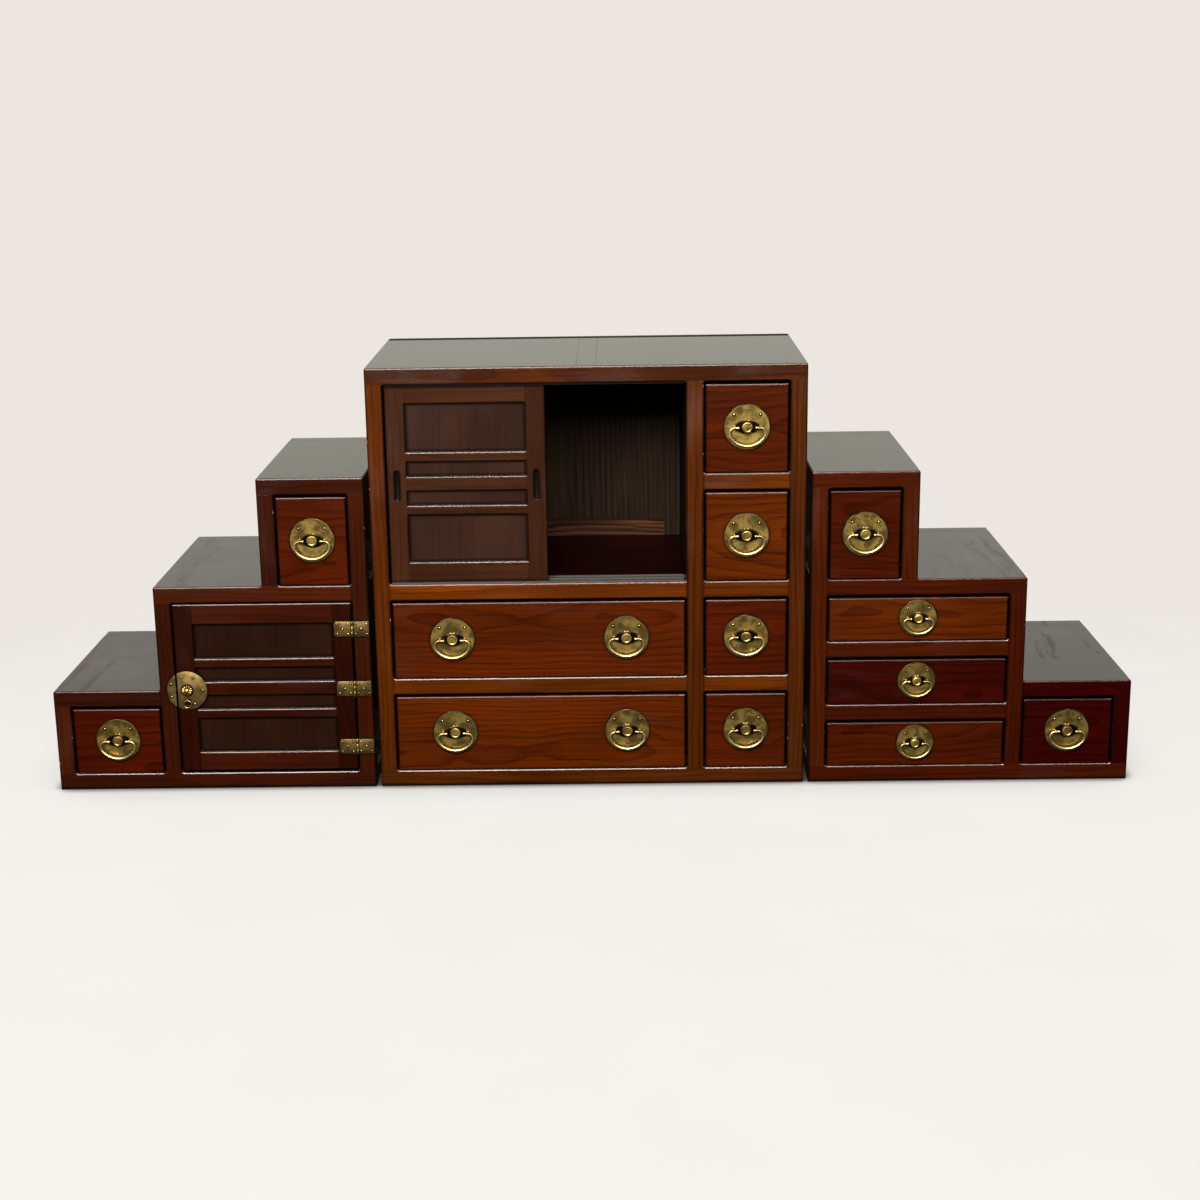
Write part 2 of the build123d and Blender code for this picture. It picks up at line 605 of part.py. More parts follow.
with BuildPart() as frame_hinge_brass:
    for z_middle in hinge_heights:
        hinge_leaf(z_middle, 1)
        for low in (z_middle - LEAF_HEIGHT / 2, z_middle + third / 2 + 3 * GLUE_LINE):
            knuckle(low, low + third - 3 * GLUE_LINE, knuckle_reach)
        leaf_rivets(z_middle, 1)
        with BuildSketch(Plane.XY.offset(z_middle - LEAF_HEIGHT / 2 - HINGE_PIN_ENDS[0])):
            with Locations((barrel_x, barrel_y)):
                Circle(HINGE_PIN_RADIUS)
        extrude(amount=LEAF_HEIGHT + sum(HINGE_PIN_ENDS))
    lock_half(lock_x - LOCK_RADIUS - 1, cupboard[0] - GLUE_LINE, KEEPER_RIVETS)
save(frame_hinge_brass, "frame_hinge_brass")

with BuildPart() as lock_ring:
    with Locations(Location((lock_x, ring_y, staple_z - RING_RADIUS), (90, 0, 0))):
        Torus(RING_RADIUS, RING_WIRE)
save(lock_ring, "lock_ring")

# ---------------------------------------------------------------- drawers and their handles

narrow_names = ("bottom", "lower", "upper", "top")
both_handles = (-WIDE_DRAWER_HANDLE, WIDE_DRAWER_HANDLE)
# name, opening, distances of the handles from the drawer's middle, radius of their plates
drawers = [
    ("wide_lower", wide_bays[0], both_handles, PLATE_RADIUS),
    ("wide_upper", wide_bays[1], both_handles, PLATE_RADIUS),
    *((f"narrow_{place}", opening, (0,), PLATE_RADIUS)
      for place, opening in zip(narrow_names, column_bays)),
    ("left_upper", upper_bay(-1), (0,), PLATE_RADIUS),
    ("left_step", step_bay(-1), (0,), PLATE_RADIUS),
    ("right_upper", upper_bay(1), (0,), PLATE_RADIUS),
    *((f"right_wide_{place}", opening, (0,), SMALL_PLATE_RADIUS)
      for place, opening in zip(("bottom", "middle", "top"), right_wide_bays)),
    ("right_step", step_bay(1), (0,), PLATE_RADIUS),
]
DRAWER_FACE = FRONT + DRAWER_INSET
DRAWER_REAR = INSIDE_REAR - DRAWER_REAR_ROOM


def handle_fittings(x, z, size):
    """Round plate, rivets, scalloped boss and two pivot eyes, scaled by size."""
    face = DRAWER_FACE - GLUE_LINE
    with BuildSketch(on_face(x, face, z)) as plate:
        Circle(PLATE_RADIUS * size)
    extrude(plate.sketch, amount=SHEET)
    front = on_face(x, face - SHEET, z)
    corners = [(a * RIVET_X * size, b * RIVET_Z * size) for a in (-1, 1) for b in (-1, 1)]
    rivets(front, corners, RIVET_RADIUS * size, RIVET_HEIGHT)
    rosette(front, FLANGE_RADIUS * size, FLANGE_HEIGHT)
    boss = front.offset(FLANGE_HEIGHT + 2 * GLUE_LINE + BOSS_HEIGHT / 2)
    with Locations(boss):
        Cylinder(BOSS_RADIUS * size, BOSS_HEIGHT)
    fillet(edges(Select.LAST).group_by(Axis.Y)[0], BOSS_ROUND)
    for side in (-1, 1):
        middle = x + side * PIVOT_X * size
        stem = (PIVOT_STANDOFF - EYE_BORE) * size - BAIL_CLEARANCE
        with Locations(on_face(middle, face - SHEET - GLUE_LINE, z)):
            Cylinder(STEM_RADIUS * size, stem, align=(Align.CENTER, Align.CENTER, Align.MIN))
        with Locations(Plane(origin=(middle, pivot_y(size), z), z_dir=(1, 0, 0))):
            Cylinder(EYE_RADIUS * size, EYE_WIDTH * size)
            Cylinder(EYE_BORE * size, EYE_WIDTH * size, mode=Mode.SUBTRACT)


def pivot_y(size):
    """How far forward the bail's axis lies."""
    return DRAWER_FACE - GLUE_LINE - SHEET - PIVOT_STANDOFF * size


def bail(x, z, size):
    """A bent wire whose ends turn inward through the pivot eyes, with a knob on each end."""
    half, corner, drop, low = (
        size * value
        for value in (BAIL_HALF_WIDTH, BAIL_CORNER, BAIL_DROP, BAIL_BOTTOM_RADIUS)
    )
    cheek = (low**2 - half**2 - (drop - corner - low) ** 2) / (2 * (low - half))
    turn = degrees(atan2(low - drop + corner, half - cheek))
    with BuildLine(on_face(x, pivot_y(size), z)) as path:
        Line((-BAIL_END * size, 0), (corner - half, 0))
        CenterArc((corner - half, -corner), corner, 90, 90)
        CenterArc((cheek - half, -corner), cheek, 180, turn)
        CenterArc((0, low - drop), low, 180 + turn, 180 - 2 * turn)
        CenterArc((half - cheek, -corner), cheek, -turn, turn)
        CenterArc((half - corner, -corner), corner, 0, 90)
        Line((half - corner, 0), (BAIL_END * size, 0))
    with BuildSketch(Plane(origin=path.line @ 0, z_dir=path.line % 0)) as wire:
        Circle(BAIL_WIRE * size)
    sweep(wire.sketch, path=path.line)
    with Locations(path.line @ 0, path.line @ 1):
        Sphere(BAIL_KNOB * size)


for name, (x0, x1, z0, z1), handles, plate_radius in drawers:
    left, right = x0 + SIDE_CLEARANCE, x1 - SIDE_CLEARANCE
    low, high = z0 + RUN_CLEARANCE, z1 - TOP_CLEARANCE
    inner_left, inner_right = left + DRAWER_SIDE, right - DRAWER_SIDE
    front_back = DRAWER_FACE + DRAWER_FRONT
    wall_top = high - DRAWER_BOTTOM
    floor = low + DRAWER_BOTTOM

    with BuildPart() as drawer:
        with BuildSketch(Plane.XZ.offset(-front_back)):
            with Locations(((left + right) / 2, (low + high) / 2)):
                Rectangle(right - left, high - low)
        extrude(amount=DRAWER_FRONT)
        fillet(drawer.faces().sort_by(Axis.Y)[0].edges(), DRAWER_ROUND)
        fitted(left, inner_left, front_back, DRAWER_REAR, low, wall_top)
        fitted(inner_right, right, front_back, DRAWER_REAR, low, wall_top)
        fitted(inner_left, inner_right, DRAWER_REAR - DRAWER_SIDE, DRAWER_REAR, low, wall_top)
        fitted(inner_left, inner_right, front_back, DRAWER_REAR - DRAWER_SIDE, low, floor)
    save(drawer, f"drawer_{name}")

    size = plate_radius / PLATE_RADIUS
    handle_z = (z0 + z1) / 2
    handle_xs = [(x0 + x1) / 2 + offset for offset in handles]
    with BuildPart() as plates:
        for x in handle_xs:
            handle_fittings(x, handle_z, size)
    save(plates, f"handle_plate_{name}")

    for x, suffix in zip(handle_xs, ("",) if len(handles) == 1 else ("_left", "_right")):
        with BuildPart() as handle_bail:
            bail(x, handle_z, size)
        save(handle_bail, f"bail_{name}{suffix}")
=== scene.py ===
import math
import random
from functools import partial

import bmesh
import bpy
import numpy as np
from bpy.props import FloatProperty, FloatVectorProperty, IntProperty, PointerProperty
from mathutils import Matrix, Vector


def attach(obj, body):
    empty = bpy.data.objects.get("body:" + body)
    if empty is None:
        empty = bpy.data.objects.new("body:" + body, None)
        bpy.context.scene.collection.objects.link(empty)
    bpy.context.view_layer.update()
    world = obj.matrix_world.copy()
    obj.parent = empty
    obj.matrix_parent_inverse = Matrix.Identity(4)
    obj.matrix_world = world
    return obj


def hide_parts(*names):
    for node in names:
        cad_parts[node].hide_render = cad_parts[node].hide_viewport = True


bl_info = {
    "name": "Step chest",
    "version": (1, 0, 0),
    "blender": (4, 5, 0),
    "location": "View3D > Sidebar > Step chest",
    "description": "Lacquer, brass fittings and studio for a stepped chest in three cabinets",
    "category": "Object",
}

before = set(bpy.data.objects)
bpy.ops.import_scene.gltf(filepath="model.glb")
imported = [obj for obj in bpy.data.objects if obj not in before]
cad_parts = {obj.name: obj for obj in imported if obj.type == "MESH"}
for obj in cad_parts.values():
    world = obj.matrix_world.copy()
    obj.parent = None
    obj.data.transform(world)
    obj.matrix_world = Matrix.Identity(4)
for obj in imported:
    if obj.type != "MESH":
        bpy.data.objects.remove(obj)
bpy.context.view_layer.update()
MM = 0.001
SCENE = bpy.context.scene

# Levels and faces of the carcass, in metres
CENTRE_TOP = 0.9
TREAD_TOPS = (0.675, 0.446, 0.22)
TOP_LEVELS = (CENTRE_TOP, *TREAD_TOPS)
TOP_STRIP = 0.02  # half the width of the strip between the centre's top boards
FACE = -0.225
DRAWER_FACE = -0.2235
GAP = 0.1 * MM  # between brass and wood

# What tells one member from another, in metres
THIN = 0.02  # panels, boards and drawer sides are thinner
COMPARTMENT = 0.4  # its floor lies higher, the bottom board lower
HALFWAY = 0.5  # between the rails under and over the compartment
PARTITION = 0.21  # the skin towards the compartment starts to the left of this
REAR_RAILS = 0.18  # the rear frame starts behind this
FRONT_MEMBERS = -0.2  # members of the front start before this

# Axes, by number and as directions
ACROSS, INWARD, UPRIGHT = 0, 1, 2
SIDEWAYS, FORWARD = (1, 0, 0), (0, 1, 0)

# Where in the log a member may be sawn from, along, across and deep, and the tones it may have
SAWN_FROM = ((-3, 3), (-0.06, 0.06), (0.05, 0.11))
TONES = (0.25, 0.75)

TINY = 1e-9
SOFT_UP_TO = math.radians(35)  # faces of the brass that meet at less are shaded as one


# ------------------------------------------------------------------ settings


def colour(name, description, value):
    """A colour setting, in linear light."""
    return FloatVectorProperty(name=name, description=description, default=value, size=3,
                               min=0, max=1, subtype="COLOR")


def length(name, description, millimetres):
    """A length setting, in metres."""
    return FloatProperty(name=name, description=description, default=millimetres * MM,
                         min=0, unit="LENGTH", subtype="DISTANCE", precision=5)


class WoodFinish(bpy.types.PropertyGroup):
    """Colours of the stained and lacquered wood."""

    centre: colour("Centre frame", "Stain of the centre cabinet's frame", (0.036, 0.0078, 0.0006))
    centre_warm: colour("Centre frame, warm", "Its palest, most orange members",
                        (0.084, 0.0170, 0.0004))
    left: colour("Left frame", "Stain of the left cabinet's frame", (0.0155, 0.0026, 0.0008))
    left_warm: colour("Left frame, warm", "Its palest members", (0.040, 0.0066, 0.0010))
    right: colour("Right frame", "Stain of the right cabinet's frame", (0.0205, 0.0003, 0.0001))
    right_warm: colour("Right frame, warm", "Its palest members", (0.050, 0.0092, 0.0006))
    drawer: colour("Drawer fronts", "Stain of the drawer fronts", (0.0225, 0.0008, 0.0002))
    drawer_warm: colour("Drawer fronts, warm", "The palest drawer fronts", (0.066, 0.0112, 0.0003))
    slider: colour("Sliding doors", "Stiles and rails of the sliding doors",
                   (0.0230, 0.0076, 0.0030))
    slider_warm: colour("Sliding doors, warm", "Their palest members", (0.0290, 0.0090, 0.0034))
    slider_panel: colour("Sliding door panels", "Thin panels of the sliding doors",
                         (0.0195, 0.0082, 0.0050))
    door: colour("Hinged door", "Stiles and rails of the hinged door", (0.0112, 0.0016, 0.0004))
    door_warm: colour("Hinged door, warm", "Its palest members", (0.0240, 0.0040, 0.0010))
    door_panel: colour("Hinged door panels", "Thin panels of the hinged door",
                       (0.0108, 0.0036, 0.0018))
    top: colour("Tops", "Glossy tops and treads", (0.0090, 0.0040, 0.0022))
    inside: colour("Inside", "Walls of the compartment", (0.0140, 0.0074, 0.0024))
    inside_side: colour("Inside, right", "Side of the compartment's partition",
                        (0.0028, 0.0009, 0.0003))
    inside_rail: colour("Inside rail", "Paler figured rail behind the compartment",
                        (0.060, 0.0185, 0.0045))
    inside_floor: colour("Compartment floor", "Red floor of the compartment",
                         (0.0066, 0.0003, 0.0001))
    bare: colour("Bare wood", "Unlacquered drawer sides and runners", (0.115, 0.062, 0.026))
    # Worn edge: wear of the lacquer on upper edges, made paler as a painted highlight
    worn: colour("Worn edge", "Rubbed lacquer along upper edges", (0.15, 0.062, 0.045))
    chip: colour("Chip", "Bare spots along the edges", (0.30, 0.16, 0.07))
    track: colour("Sill", "Worn grey sill under the sliding doors", (0.035, 0.032, 0.028))
    grain_shade: colour("Grain", "What the dark grain leaves of the stain", (0.30, 0.22, 0.25))
    # Painted shade on edges that look down or sideways
    painted_edge_shade: colour("Dark edge", "Edges that look down or sideways", (0.0016, 0.0006, 0.0003))
    # Grime and painted shade in corners and crevices
    dirt_and_shade: colour("Dirt", "Dirt in the corners", (0.0022, 0.0012, 0.0008))
    dust: colour("Dust", "Dust on the tops", (0.10, 0.092, 0.075))
    top_grain: colour("Tops, grain", "Grain of the tops", (0.004, 0.0016, 0.001))
    top_worn: colour("Tops, worn", "Streaks where the tops are worn thin", (0.030, 0.011, 0.006))
    top_edge: colour("Tops, edge", "Red line along the edges of the tops", (0.030, 0.0016, 0.0006))


class BrassFinish(bpy.types.PropertyGroup):
    """Colours of the aged brass."""

    bright: colour("Bright brass", "Rubbed places", (0.50, 0.345, 0.088))
    olive: colour("Olive brass", "Duller places", (0.195, 0.132, 0.038))
    bail: colour("Bails, bright", "Bails, rubbed by hands", (0.66, 0.50, 0.21))
    bail_olive: colour("Bails, olive", "Bails, duller places", (0.40, 0.29, 0.11))
    dull: colour("Dull brass", "Lock plate and hinges, rubbed", (0.400, 0.262, 0.094))
    dull_olive: colour("Dull olive brass", "Lock plate and hinges", (0.235, 0.156, 0.056))
    # Patina in the hollows, and the colour of painted shade on the brass
    patina_and_shade: colour("Patina", "Dark brown of the hollows", (0.0030, 0.0018, 0.0008))


class HandleSizes(bpy.types.PropertyGroup):
    """Sizes of a handle on a large plate."""

    plate_radius: length("Plate radius", "Radius of the round plate", 47.5)
    small_plate_radius: length("Small plate radius", "Plates of the low wide drawers", 40)
    sheet: length("Sheet", "Thickness of the plate", 1.5)
    flange_radius: length("Flange radius", "Scalloped disc behind the boss", 16)
    boss_radius: length("Boss radius", "Round boss in the middle", 11)
    petals: IntProperty(name="Petals", description="Scallops of the flange", default=12, min=3)
    rivet_x: length("Rivet across", "Rivets beside the middle", 27)
    rivet_z: length("Rivet up", "Rivets above the middle", 26)
    rivet_radius: length("Rivet radius", "Radius of the rivets", 2.3)
    pivot_x: length("Pivot across", "Eyes beside the middle", 25.5)
    standoff: length("Standoff", "Pivot axis in front of the plate", 8.5)
    half_width: length("Half width", "Half the width of the bail", 36.5)
    drop: length("Drop", "Bottom of the bail below its axis", 38)
    corner_radius: length("Corner radius", "Shoulders of the bail", 11)
    bottom_radius: length("Bottom radius", "Flat arc at the bottom of the bail", 42)
    bail_end: length("Bail end", "Inner ends of the bail, beside the middle", 18.5)
    knob: length("Knob radius", "Knobs at the bail's ends", 2.9)
    thin: length("Thin wire", "Radius of the bail's ends", 1.7)
    thick: length("Thick wire", "Radius of the bail's middle", 2.75)


class DoorFittingSizes(bpy.types.PropertyGroup):
    """Sizes of the hinges, the lock plate and the finger pulls."""

    leaf_height: length("Leaf height", "Height of a hinge leaf", 33)
    leaf_width: length("Leaf width", "From the pin to the end of a leaf", 38)
    post_leaf_width: length("Post leaf width", "From the pin to the end of a post's leaf", 35)
    leaf_clip: length("Leaf clip", "Cut corners of the door's leaves", 4)
    barrel_radius: length("Barrel radius", "Radius of the knuckles", 2.5)
    pin_radius: length("Pin radius", "Radius of the hinge pins", 1.1)
    lock_radius: length("Lock radius", "Radius of the round lock plate", 43)
    rosette_radius: length("Rosette radius", "Radius of the beaded flower", 13)
    beads: IntProperty(name="Beads", description="Beads of the flower", default=12, min=3)
    pull_width: length("Pull width", "Width of a finger pull", 14)
    pull_height: length("Pull height", "Height of a finger pull", 66)
    pull_depth: length("Pull depth", "Depth of a finger pull", 6)


class StudioSettings(bpy.types.PropertyGroup):
    """Camera, lights and floor."""

    backdrop: colour("Backdrop", "Colour of the backdrop", (0.838, 0.799, 0.752))
    floor: colour("Floor", "Colour of the floor near the chest", (0.905, 0.870, 0.840))
    front_light: FloatProperty(name="Front light", description="Radiance of the large front light",
                               default=42.0, min=0)
    strip_light: FloatProperty(name="Strip light", description="Radiance of the glossy strip",
                               default=40.0, min=0)
    fill_light: FloatProperty(name="Fill light", description="Radiance of the other lights",
                              default=5.5, min=0)
    lens: FloatProperty(name="Lens", description="Focal length", default=56.363, min=1,
                        subtype="DISTANCE_CAMERA")
    camera_x: length("Camera right", "Camera to the right of the chest", 61.9)
    camera_y: FloatProperty(name="Camera front", description="Camera's place along the depth",
                            default=-3.99665, unit="LENGTH")
    camera_z: length("Camera height", "Camera above the floor", 1466.98)
    pitch: FloatProperty(name="Pitch", description="Downward tilt", default=0.2470,
                         subtype="ANGLE")
    roll: FloatProperty(name="Roll", description="Tilt to the side", default=-0.0142,
                        subtype="ANGLE")
    yaw: FloatProperty(name="Yaw", description="Turn to the right", default=-0.0101,
                       subtype="ANGLE")
    rise: FloatProperty(name="Rise", description="Upward shift of the picture", default=-0.0417)


SETTINGS = {"chest_wood": WoodFinish, "chest_brass": BrassFinish, "chest_handle": HandleSizes,
            "chest_fittings": DoorFittingSizes, "chest_studio": StudioSettings}


# ------------------------------------------------------------------ shader helpers


class Value:
    """A socket to reckon with: every sum or product is a math node in its tree."""

    def __init__(self, socket):
        self.socket, self.tree = socket, socket.id_data

    def calc(self, operation, *others):
        """The result of a math node on this value and the others."""
        return result(self.tree, "ShaderNodeMath", dict(enumerate((self, *others))),
                      operation=operation)

    def vector(self, operation, *others, output="Vector"):
        """The result of a vector math node on this value and the others."""
        return result(self.tree, "ShaderNodeVectorMath", dict(enumerate((self, *others))), output,
                      operation=operation)

    def length(self):
        """How long this vector is."""
        return self.vector("LENGTH", output="Value")

    def split(self):
        """The three parts of this vector."""
        node = add_node(self.tree, "ShaderNodeSeparateXYZ", {0: self})
        return [Value(socket) for socket in node.outputs]

    def highest(self, other):
        """This value or the other, whichever is higher."""
        return self.calc("MAXIMUM", other)

    def __add__(self, other):
        return self.calc("ADD", other)

    def __sub__(self, other):
        return self.calc("SUBTRACT", other)

    def __rsub__(self, other):
        return result(self.tree, "ShaderNodeMath", {0: other, 1: self}, operation="SUBTRACT")

    def __mul__(self, other):
        return self.calc("MULTIPLY", other)

    def __truediv__(self, other):
        return self.calc("DIVIDE", other)

    def __pow__(self, other):
        return self.calc("POWER", other)

    def __abs__(self):
        return self.calc("ABSOLUTE")


def feed(sockets, **values):
    """Links each named socket to a value that changes, or sets it to one that doesn't."""
    for label, value in values.items():
        plug(sockets[label.replace("_", " ")], value)


def plug(socket, value):
    """Links a socket to a value, or sets it."""
    if isinstance(value, Value):
        socket.id_data.links.new(value.socket, socket)
    else:
        socket.default_value = value


def add_node(tree, kind, inputs=None, **settings):
    """A node with its inputs, by number or name, and its settings."""
    node = tree.nodes.new(kind)
    for name, value in settings.items():
        setattr(node, name, value)
    for key, value in (inputs or {}).items():
        plug(node.inputs[key], value)
    return node


def result(tree, kind, inputs=None, output=0, **settings):
    """One output of a new node, as a value to reckon with."""
    return Value(add_node(tree, kind, inputs, **settings).outputs[output])


def noise(point, scale=1.0, detail=2.0, roughness=0.5):
    """A noise texture's value. Scale is in waves per metre: one number, or one for each axis."""
    if isinstance(scale, tuple):
        point, scale = point.vector("MULTIPLY", scale), 1.0
    return result(point.tree, "ShaderNodeTexNoise", {"Vector": point, "Scale": scale,
                                                     "Detail": detail, "Roughness": roughness})


def remap(value, low, high, to_low=0.0, to_high=1.0):
    """A value brought from one range to another, clamped, with soft ends."""
    return result(value.tree, "ShaderNodeMapRange",
                  dict(enumerate((value, low, high, to_low, to_high))),
                  interpolation_type="SMOOTHSTEP")


def blend(factor, first, second):
    """Two colours mixed by a value."""
    return result(factor.tree, "ShaderNodeMix", {0: factor, 6: first, 7: second}, 2,
                  data_type="RGBA", clamp_factor=True)


def times(first, second):
    """A colour multiplied by another."""
    return result(first.tree, "ShaderNodeMix", {0: 1.0, 6: first, 7: second}, 2,
                  data_type="RGBA", blend_type="MULTIPLY", clamp_factor=True)


def open_air(tree, distance, samples=8):
    """How open a point lies to the air within a distance, from 0 to 1."""
    return result(tree, "ShaderNodeAmbientOcclusion", {"Distance": distance}, "AO",
                  samples=samples)


def bump(height, strength, distance, **inputs):
    """A normal bent by a height, whose full rise is the distance in metres."""
    return result(height.tree, "ShaderNodeBump", {"Strength": strength, "Distance": distance,
                                                  "Height": height, **inputs})


def attribute(tree, name, output="Vector"):
    """A value that the mesh carries."""
    return result(tree, "ShaderNodeAttribute", output=output, attribute_name=name)


def object_point(tree):
    """Where a point lies on the object, in metres."""
    return result(tree, "ShaderNodeTexCoord", output="Object")


def rgba(values):
    """A colour as four numbers."""
    return (*values, 1.0)


def new_group(name, inputs, outputs):
    """A shader node group with the given sockets: its tree, what it is given and its outlets."""
    tree = bpy.data.node_groups.new(name, "ShaderNodeTree")
    for kind, sockets in (("INPUT", inputs), ("OUTPUT", outputs)):
        for label, socket_type, *default in sockets:
            socket = tree.interface.new_socket(name=label, in_out=kind, socket_type=socket_type)
            if default:
                socket.default_value = default[0]
    entry = tree.nodes.new("NodeGroupInput")
    given = {label: Value(entry.outputs[label]) for label, *_ in inputs}
    return tree, given, tree.nodes.new("NodeGroupOutput").inputs


def use_group(tree, name, **inputs):
    """A shared group placed in a material, and its outputs by name."""
    node = tree.nodes.new("ShaderNodeGroup")
    node.node_tree = bpy.data.node_groups[name]
    feed(node.inputs, **inputs)
    return {socket.name: Value(socket) for socket in node.outputs}


def new_material(name):
    """An empty material with a Principled BSDF: its tree and that shader's inputs."""
    material = bpy.data.materials.new(name)
    material.use_nodes = True
    tree = material.node_tree
    tree.nodes.clear()
    shader = tree.nodes.new("ShaderNodeBsdfPrincipled")
    tree.links.new(shader.outputs[0], tree.nodes.new("ShaderNodeOutputMaterial").inputs[0])
    return tree, shader.inputs


# ------------------------------------------------------------------ shared effects

FLOAT, COLOUR, VECTOR = "NodeSocketFloat", "NodeSocketColor", "NodeSocketVector"


def build_grain_group():
    """Year rings, fibres and pores of a sawn board. Point runs along, across and into the board."""
    tree, given, out = new_group(
        "Wood grain",
        [("Point", VECTOR), ("Ring Width", FLOAT, 0.008), ("Wander", FLOAT, 0.03)],
        [("Rings", FLOAT), ("Fibres", FLOAT), ("Pores", FLOAT), ("Blotches", FLOAT)],
    )
    point = given["Point"]
    slow = noise(point, (2.4, 6.0, 6.0), detail=2.5)
    small = noise(point, (9.0, 60.0, 60.0))
    shake = 0.0022
    _, across, deep = point.split()
    reach = (across * across + deep * deep).calc("SQRT")
    reach = reach + (slow - 0.5) * given["Wander"] + (small - 0.5) * shake
    through_ring = (reach / given["Ring Width"]).calc("FRACT")
    late_wood = through_ring ** 2.4
    ring_end = remap(through_ring, 0.93, 1.0, 1.0, 0.0)
    pores = noise(point, (55.0, 1300.0, 1300.0), detail=1.0)
    feed(out, Rings=late_wood * ring_end, Pores=remap(pores, 0.60, 0.72),
         Fibres=noise(point, (4.0, 260.0, 260.0), detail=3.0, roughness=0.6),
         Blotches=noise(point, (3.0, 9.0, 9.0), detail=3.0))


def build_edge_group():
    """Masks of a member's edges: rubbed where they look up, wear with a painted highlight; painted
    shade where they look down or sideways; chipped here and there.

    The grime mask is grime and painted shade where the open air is far, and Normal rounds the
    edges off."""
    tree, given, out = new_group(
        "Edge wear",
        [("Point", VECTOR), ("Width", FLOAT, 0.004), ("Chips", FLOAT, 0.5)],
        [("Bend", FLOAT), ("Edge", FLOAT), ("Rubbed", FLOAT), ("Chipped", FLOAT),
         ("Shaded", FLOAT), ("Grime", FLOAT), ("Normal", VECTOR)],
    )
    point = given["Point"]
    rounded = result(tree, "ShaderNodeBevel", {"Radius": given["Width"]}, samples=4)
    flat = result(tree, "ShaderNodeNewGeometry", output="True Normal")
    agree = rounded.vector("DOT_PRODUCT", flat, output="Value")
    upward = rounded.split()[2]

    # A face that looks along no axis belongs to a rounding
    right, front, top = flat.vector("ABSOLUTE").split()
    bend = remap(right.highest(front.highest(top)), 0.9995, 0.975)
    edge = remap(agree, 0.995, 0.80).highest(bend)

    uneven = noise(point, (14.0, 60.0, 60.0), detail=3.0)
    # Edges that look up: wear, and where the worn colour goes, a painted highlight
    rubbed = edge * remap(upward, 0.25, 0.75) * remap(uneven, 0.25, 0.6, 0.25, 1.0)
    # Edges that look down or sideways get painted shade
    turned_in = remap(agree, 0.9999, 0.985).highest(bend) * remap(upward, 0.35, 0.05)
    spots = noise(point, (70.0, 190.0, 190.0))
    # Painted shade from ambient occlusion in corners and beside small steps, made uneven like grime
    dirt_and_shade = open_air(tree, 0.022) + (uneven - 0.5) * 0.3
    crevice = remap(open_air(tree, 0.008, samples=6), 0.985, 0.84)
    feed(out, Bend=bend, Edge=edge, Rubbed=rubbed, Normal=rounded,
         Chipped=remap(spots, 0.715, 0.745) * edge * given["Chips"],
         Shaded=turned_in * remap(uneven, 0.2, 0.7, 1.0, 0.75),
         Grime=remap(dirt_and_shade, 0.85, 0.30).highest(crevice))


def build_tread_group():
    """A mask of the thin bands where the tops and treads meet the faces below them."""
    _, given, out = new_group("Tread edges", [("Height", FLOAT)], [("Mask", FLOAT)])
    mask = 0.0
    for level in TOP_LEVELS:
        mask = remap(abs(given["Height"] - level), 0.0055, 0.0030).highest(mask)
    feed(out, Mask=mask)


def build_dust_group():
    """Uneven gloss: dull smudges, the streaks of a wiping cloth and a faint ripple."""
    tree, given, out = new_group(
        "Dusty gloss",
        [("Point", VECTOR), ("Clean", FLOAT, 0.12), ("Dull", FLOAT, 0.3)],
        [("Roughness", FLOAT), ("Smudges", FLOAT), ("Streaks", FLOAT), ("Ripple", FLOAT)],
    )
    point = given["Point"]
    broad = noise(point, 5.0, detail=4.0, roughness=0.6)
    fine = noise(point, (6.0, 30.0, 30.0), detail=3.0)
    smudges = remap(broad, 0.42, 0.66) * remap(fine, 0.3, 0.7)

    # Strokes of a cloth, slanting across the tops
    sway = result(tree, "ShaderNodeTexNoise", {"Vector": point, "Scale": 3.0, "Detail": 2.0},
                  "Color")
    bent = point.vector("ADD", sway.vector("MULTIPLY", (0.16, 0.10, 0.0)))
    slanted = result(tree, "ShaderNodeMapping", {"Vector": bent, "Rotation": (0.0, 0.0, 0.45),
                                                 "Scale": (15.0, 2.2, 1.0)})
    wiped = noise(slanted, detail=7.0, roughness=0.62)
    feed(out, Roughness=given["Clean"] + smudges * (given["Dull"] - given["Clean"]),
         Smudges=smudges, Streaks=remap(wiped, 0.50, 0.68), Ripple=noise(point, 26.0, detail=1.0))


def build_patina_group():
    """Aged brass: rubbed and dull patches, patina and grime in the hollows, painted shade beside
    other parts, fine scratches.
    """
    tree, given, out = new_group(
        "Aged brass",
        [("Point", VECTOR), ("Hollow", FLOAT, 0.0), ("Bright", COLOUR), ("Olive", COLOUR),
         ("Dark", COLOUR)],
        [("Color", COLOUR), ("Roughness", FLOAT), ("Height", FLOAT)],
    )
    point, patina_and_shade, olive = given["Point"], given["Hollow"], given["Olive"]
    patches = noise(point, 48.0, detail=4.0, roughness=0.6)
    specks = noise(point, 420.0)
    scratches = noise(point, (60.0, 60.0, 900.0))
    brass = blend(remap(patches, 0.38, 0.62), olive, given["Bright"])
    brass = blend(remap(specks, 0.54, 0.70) * 0.6, brass, olive)
    dark = remap(patina_and_shade + (patches - 0.5) * 0.8, 0.30, 0.85) * remap(patina_and_shade, 0.0, 0.2)
    # Painted shade: ambient occlusion darkens the brass close beside the boss, bail, rivets and
    # knuckles
    dark = dark.highest(remap(open_air(tree, 0.009), 0.92, 0.55))
    feed(out, Color=blend(dark, brass, given["Dark"]),
         Roughness=patches * 0.14 + dark * 0.20 + 0.26,
         Height=scratches * 0.5 + specks * 0.5)


# ------------------------------------------------------------------ finishes


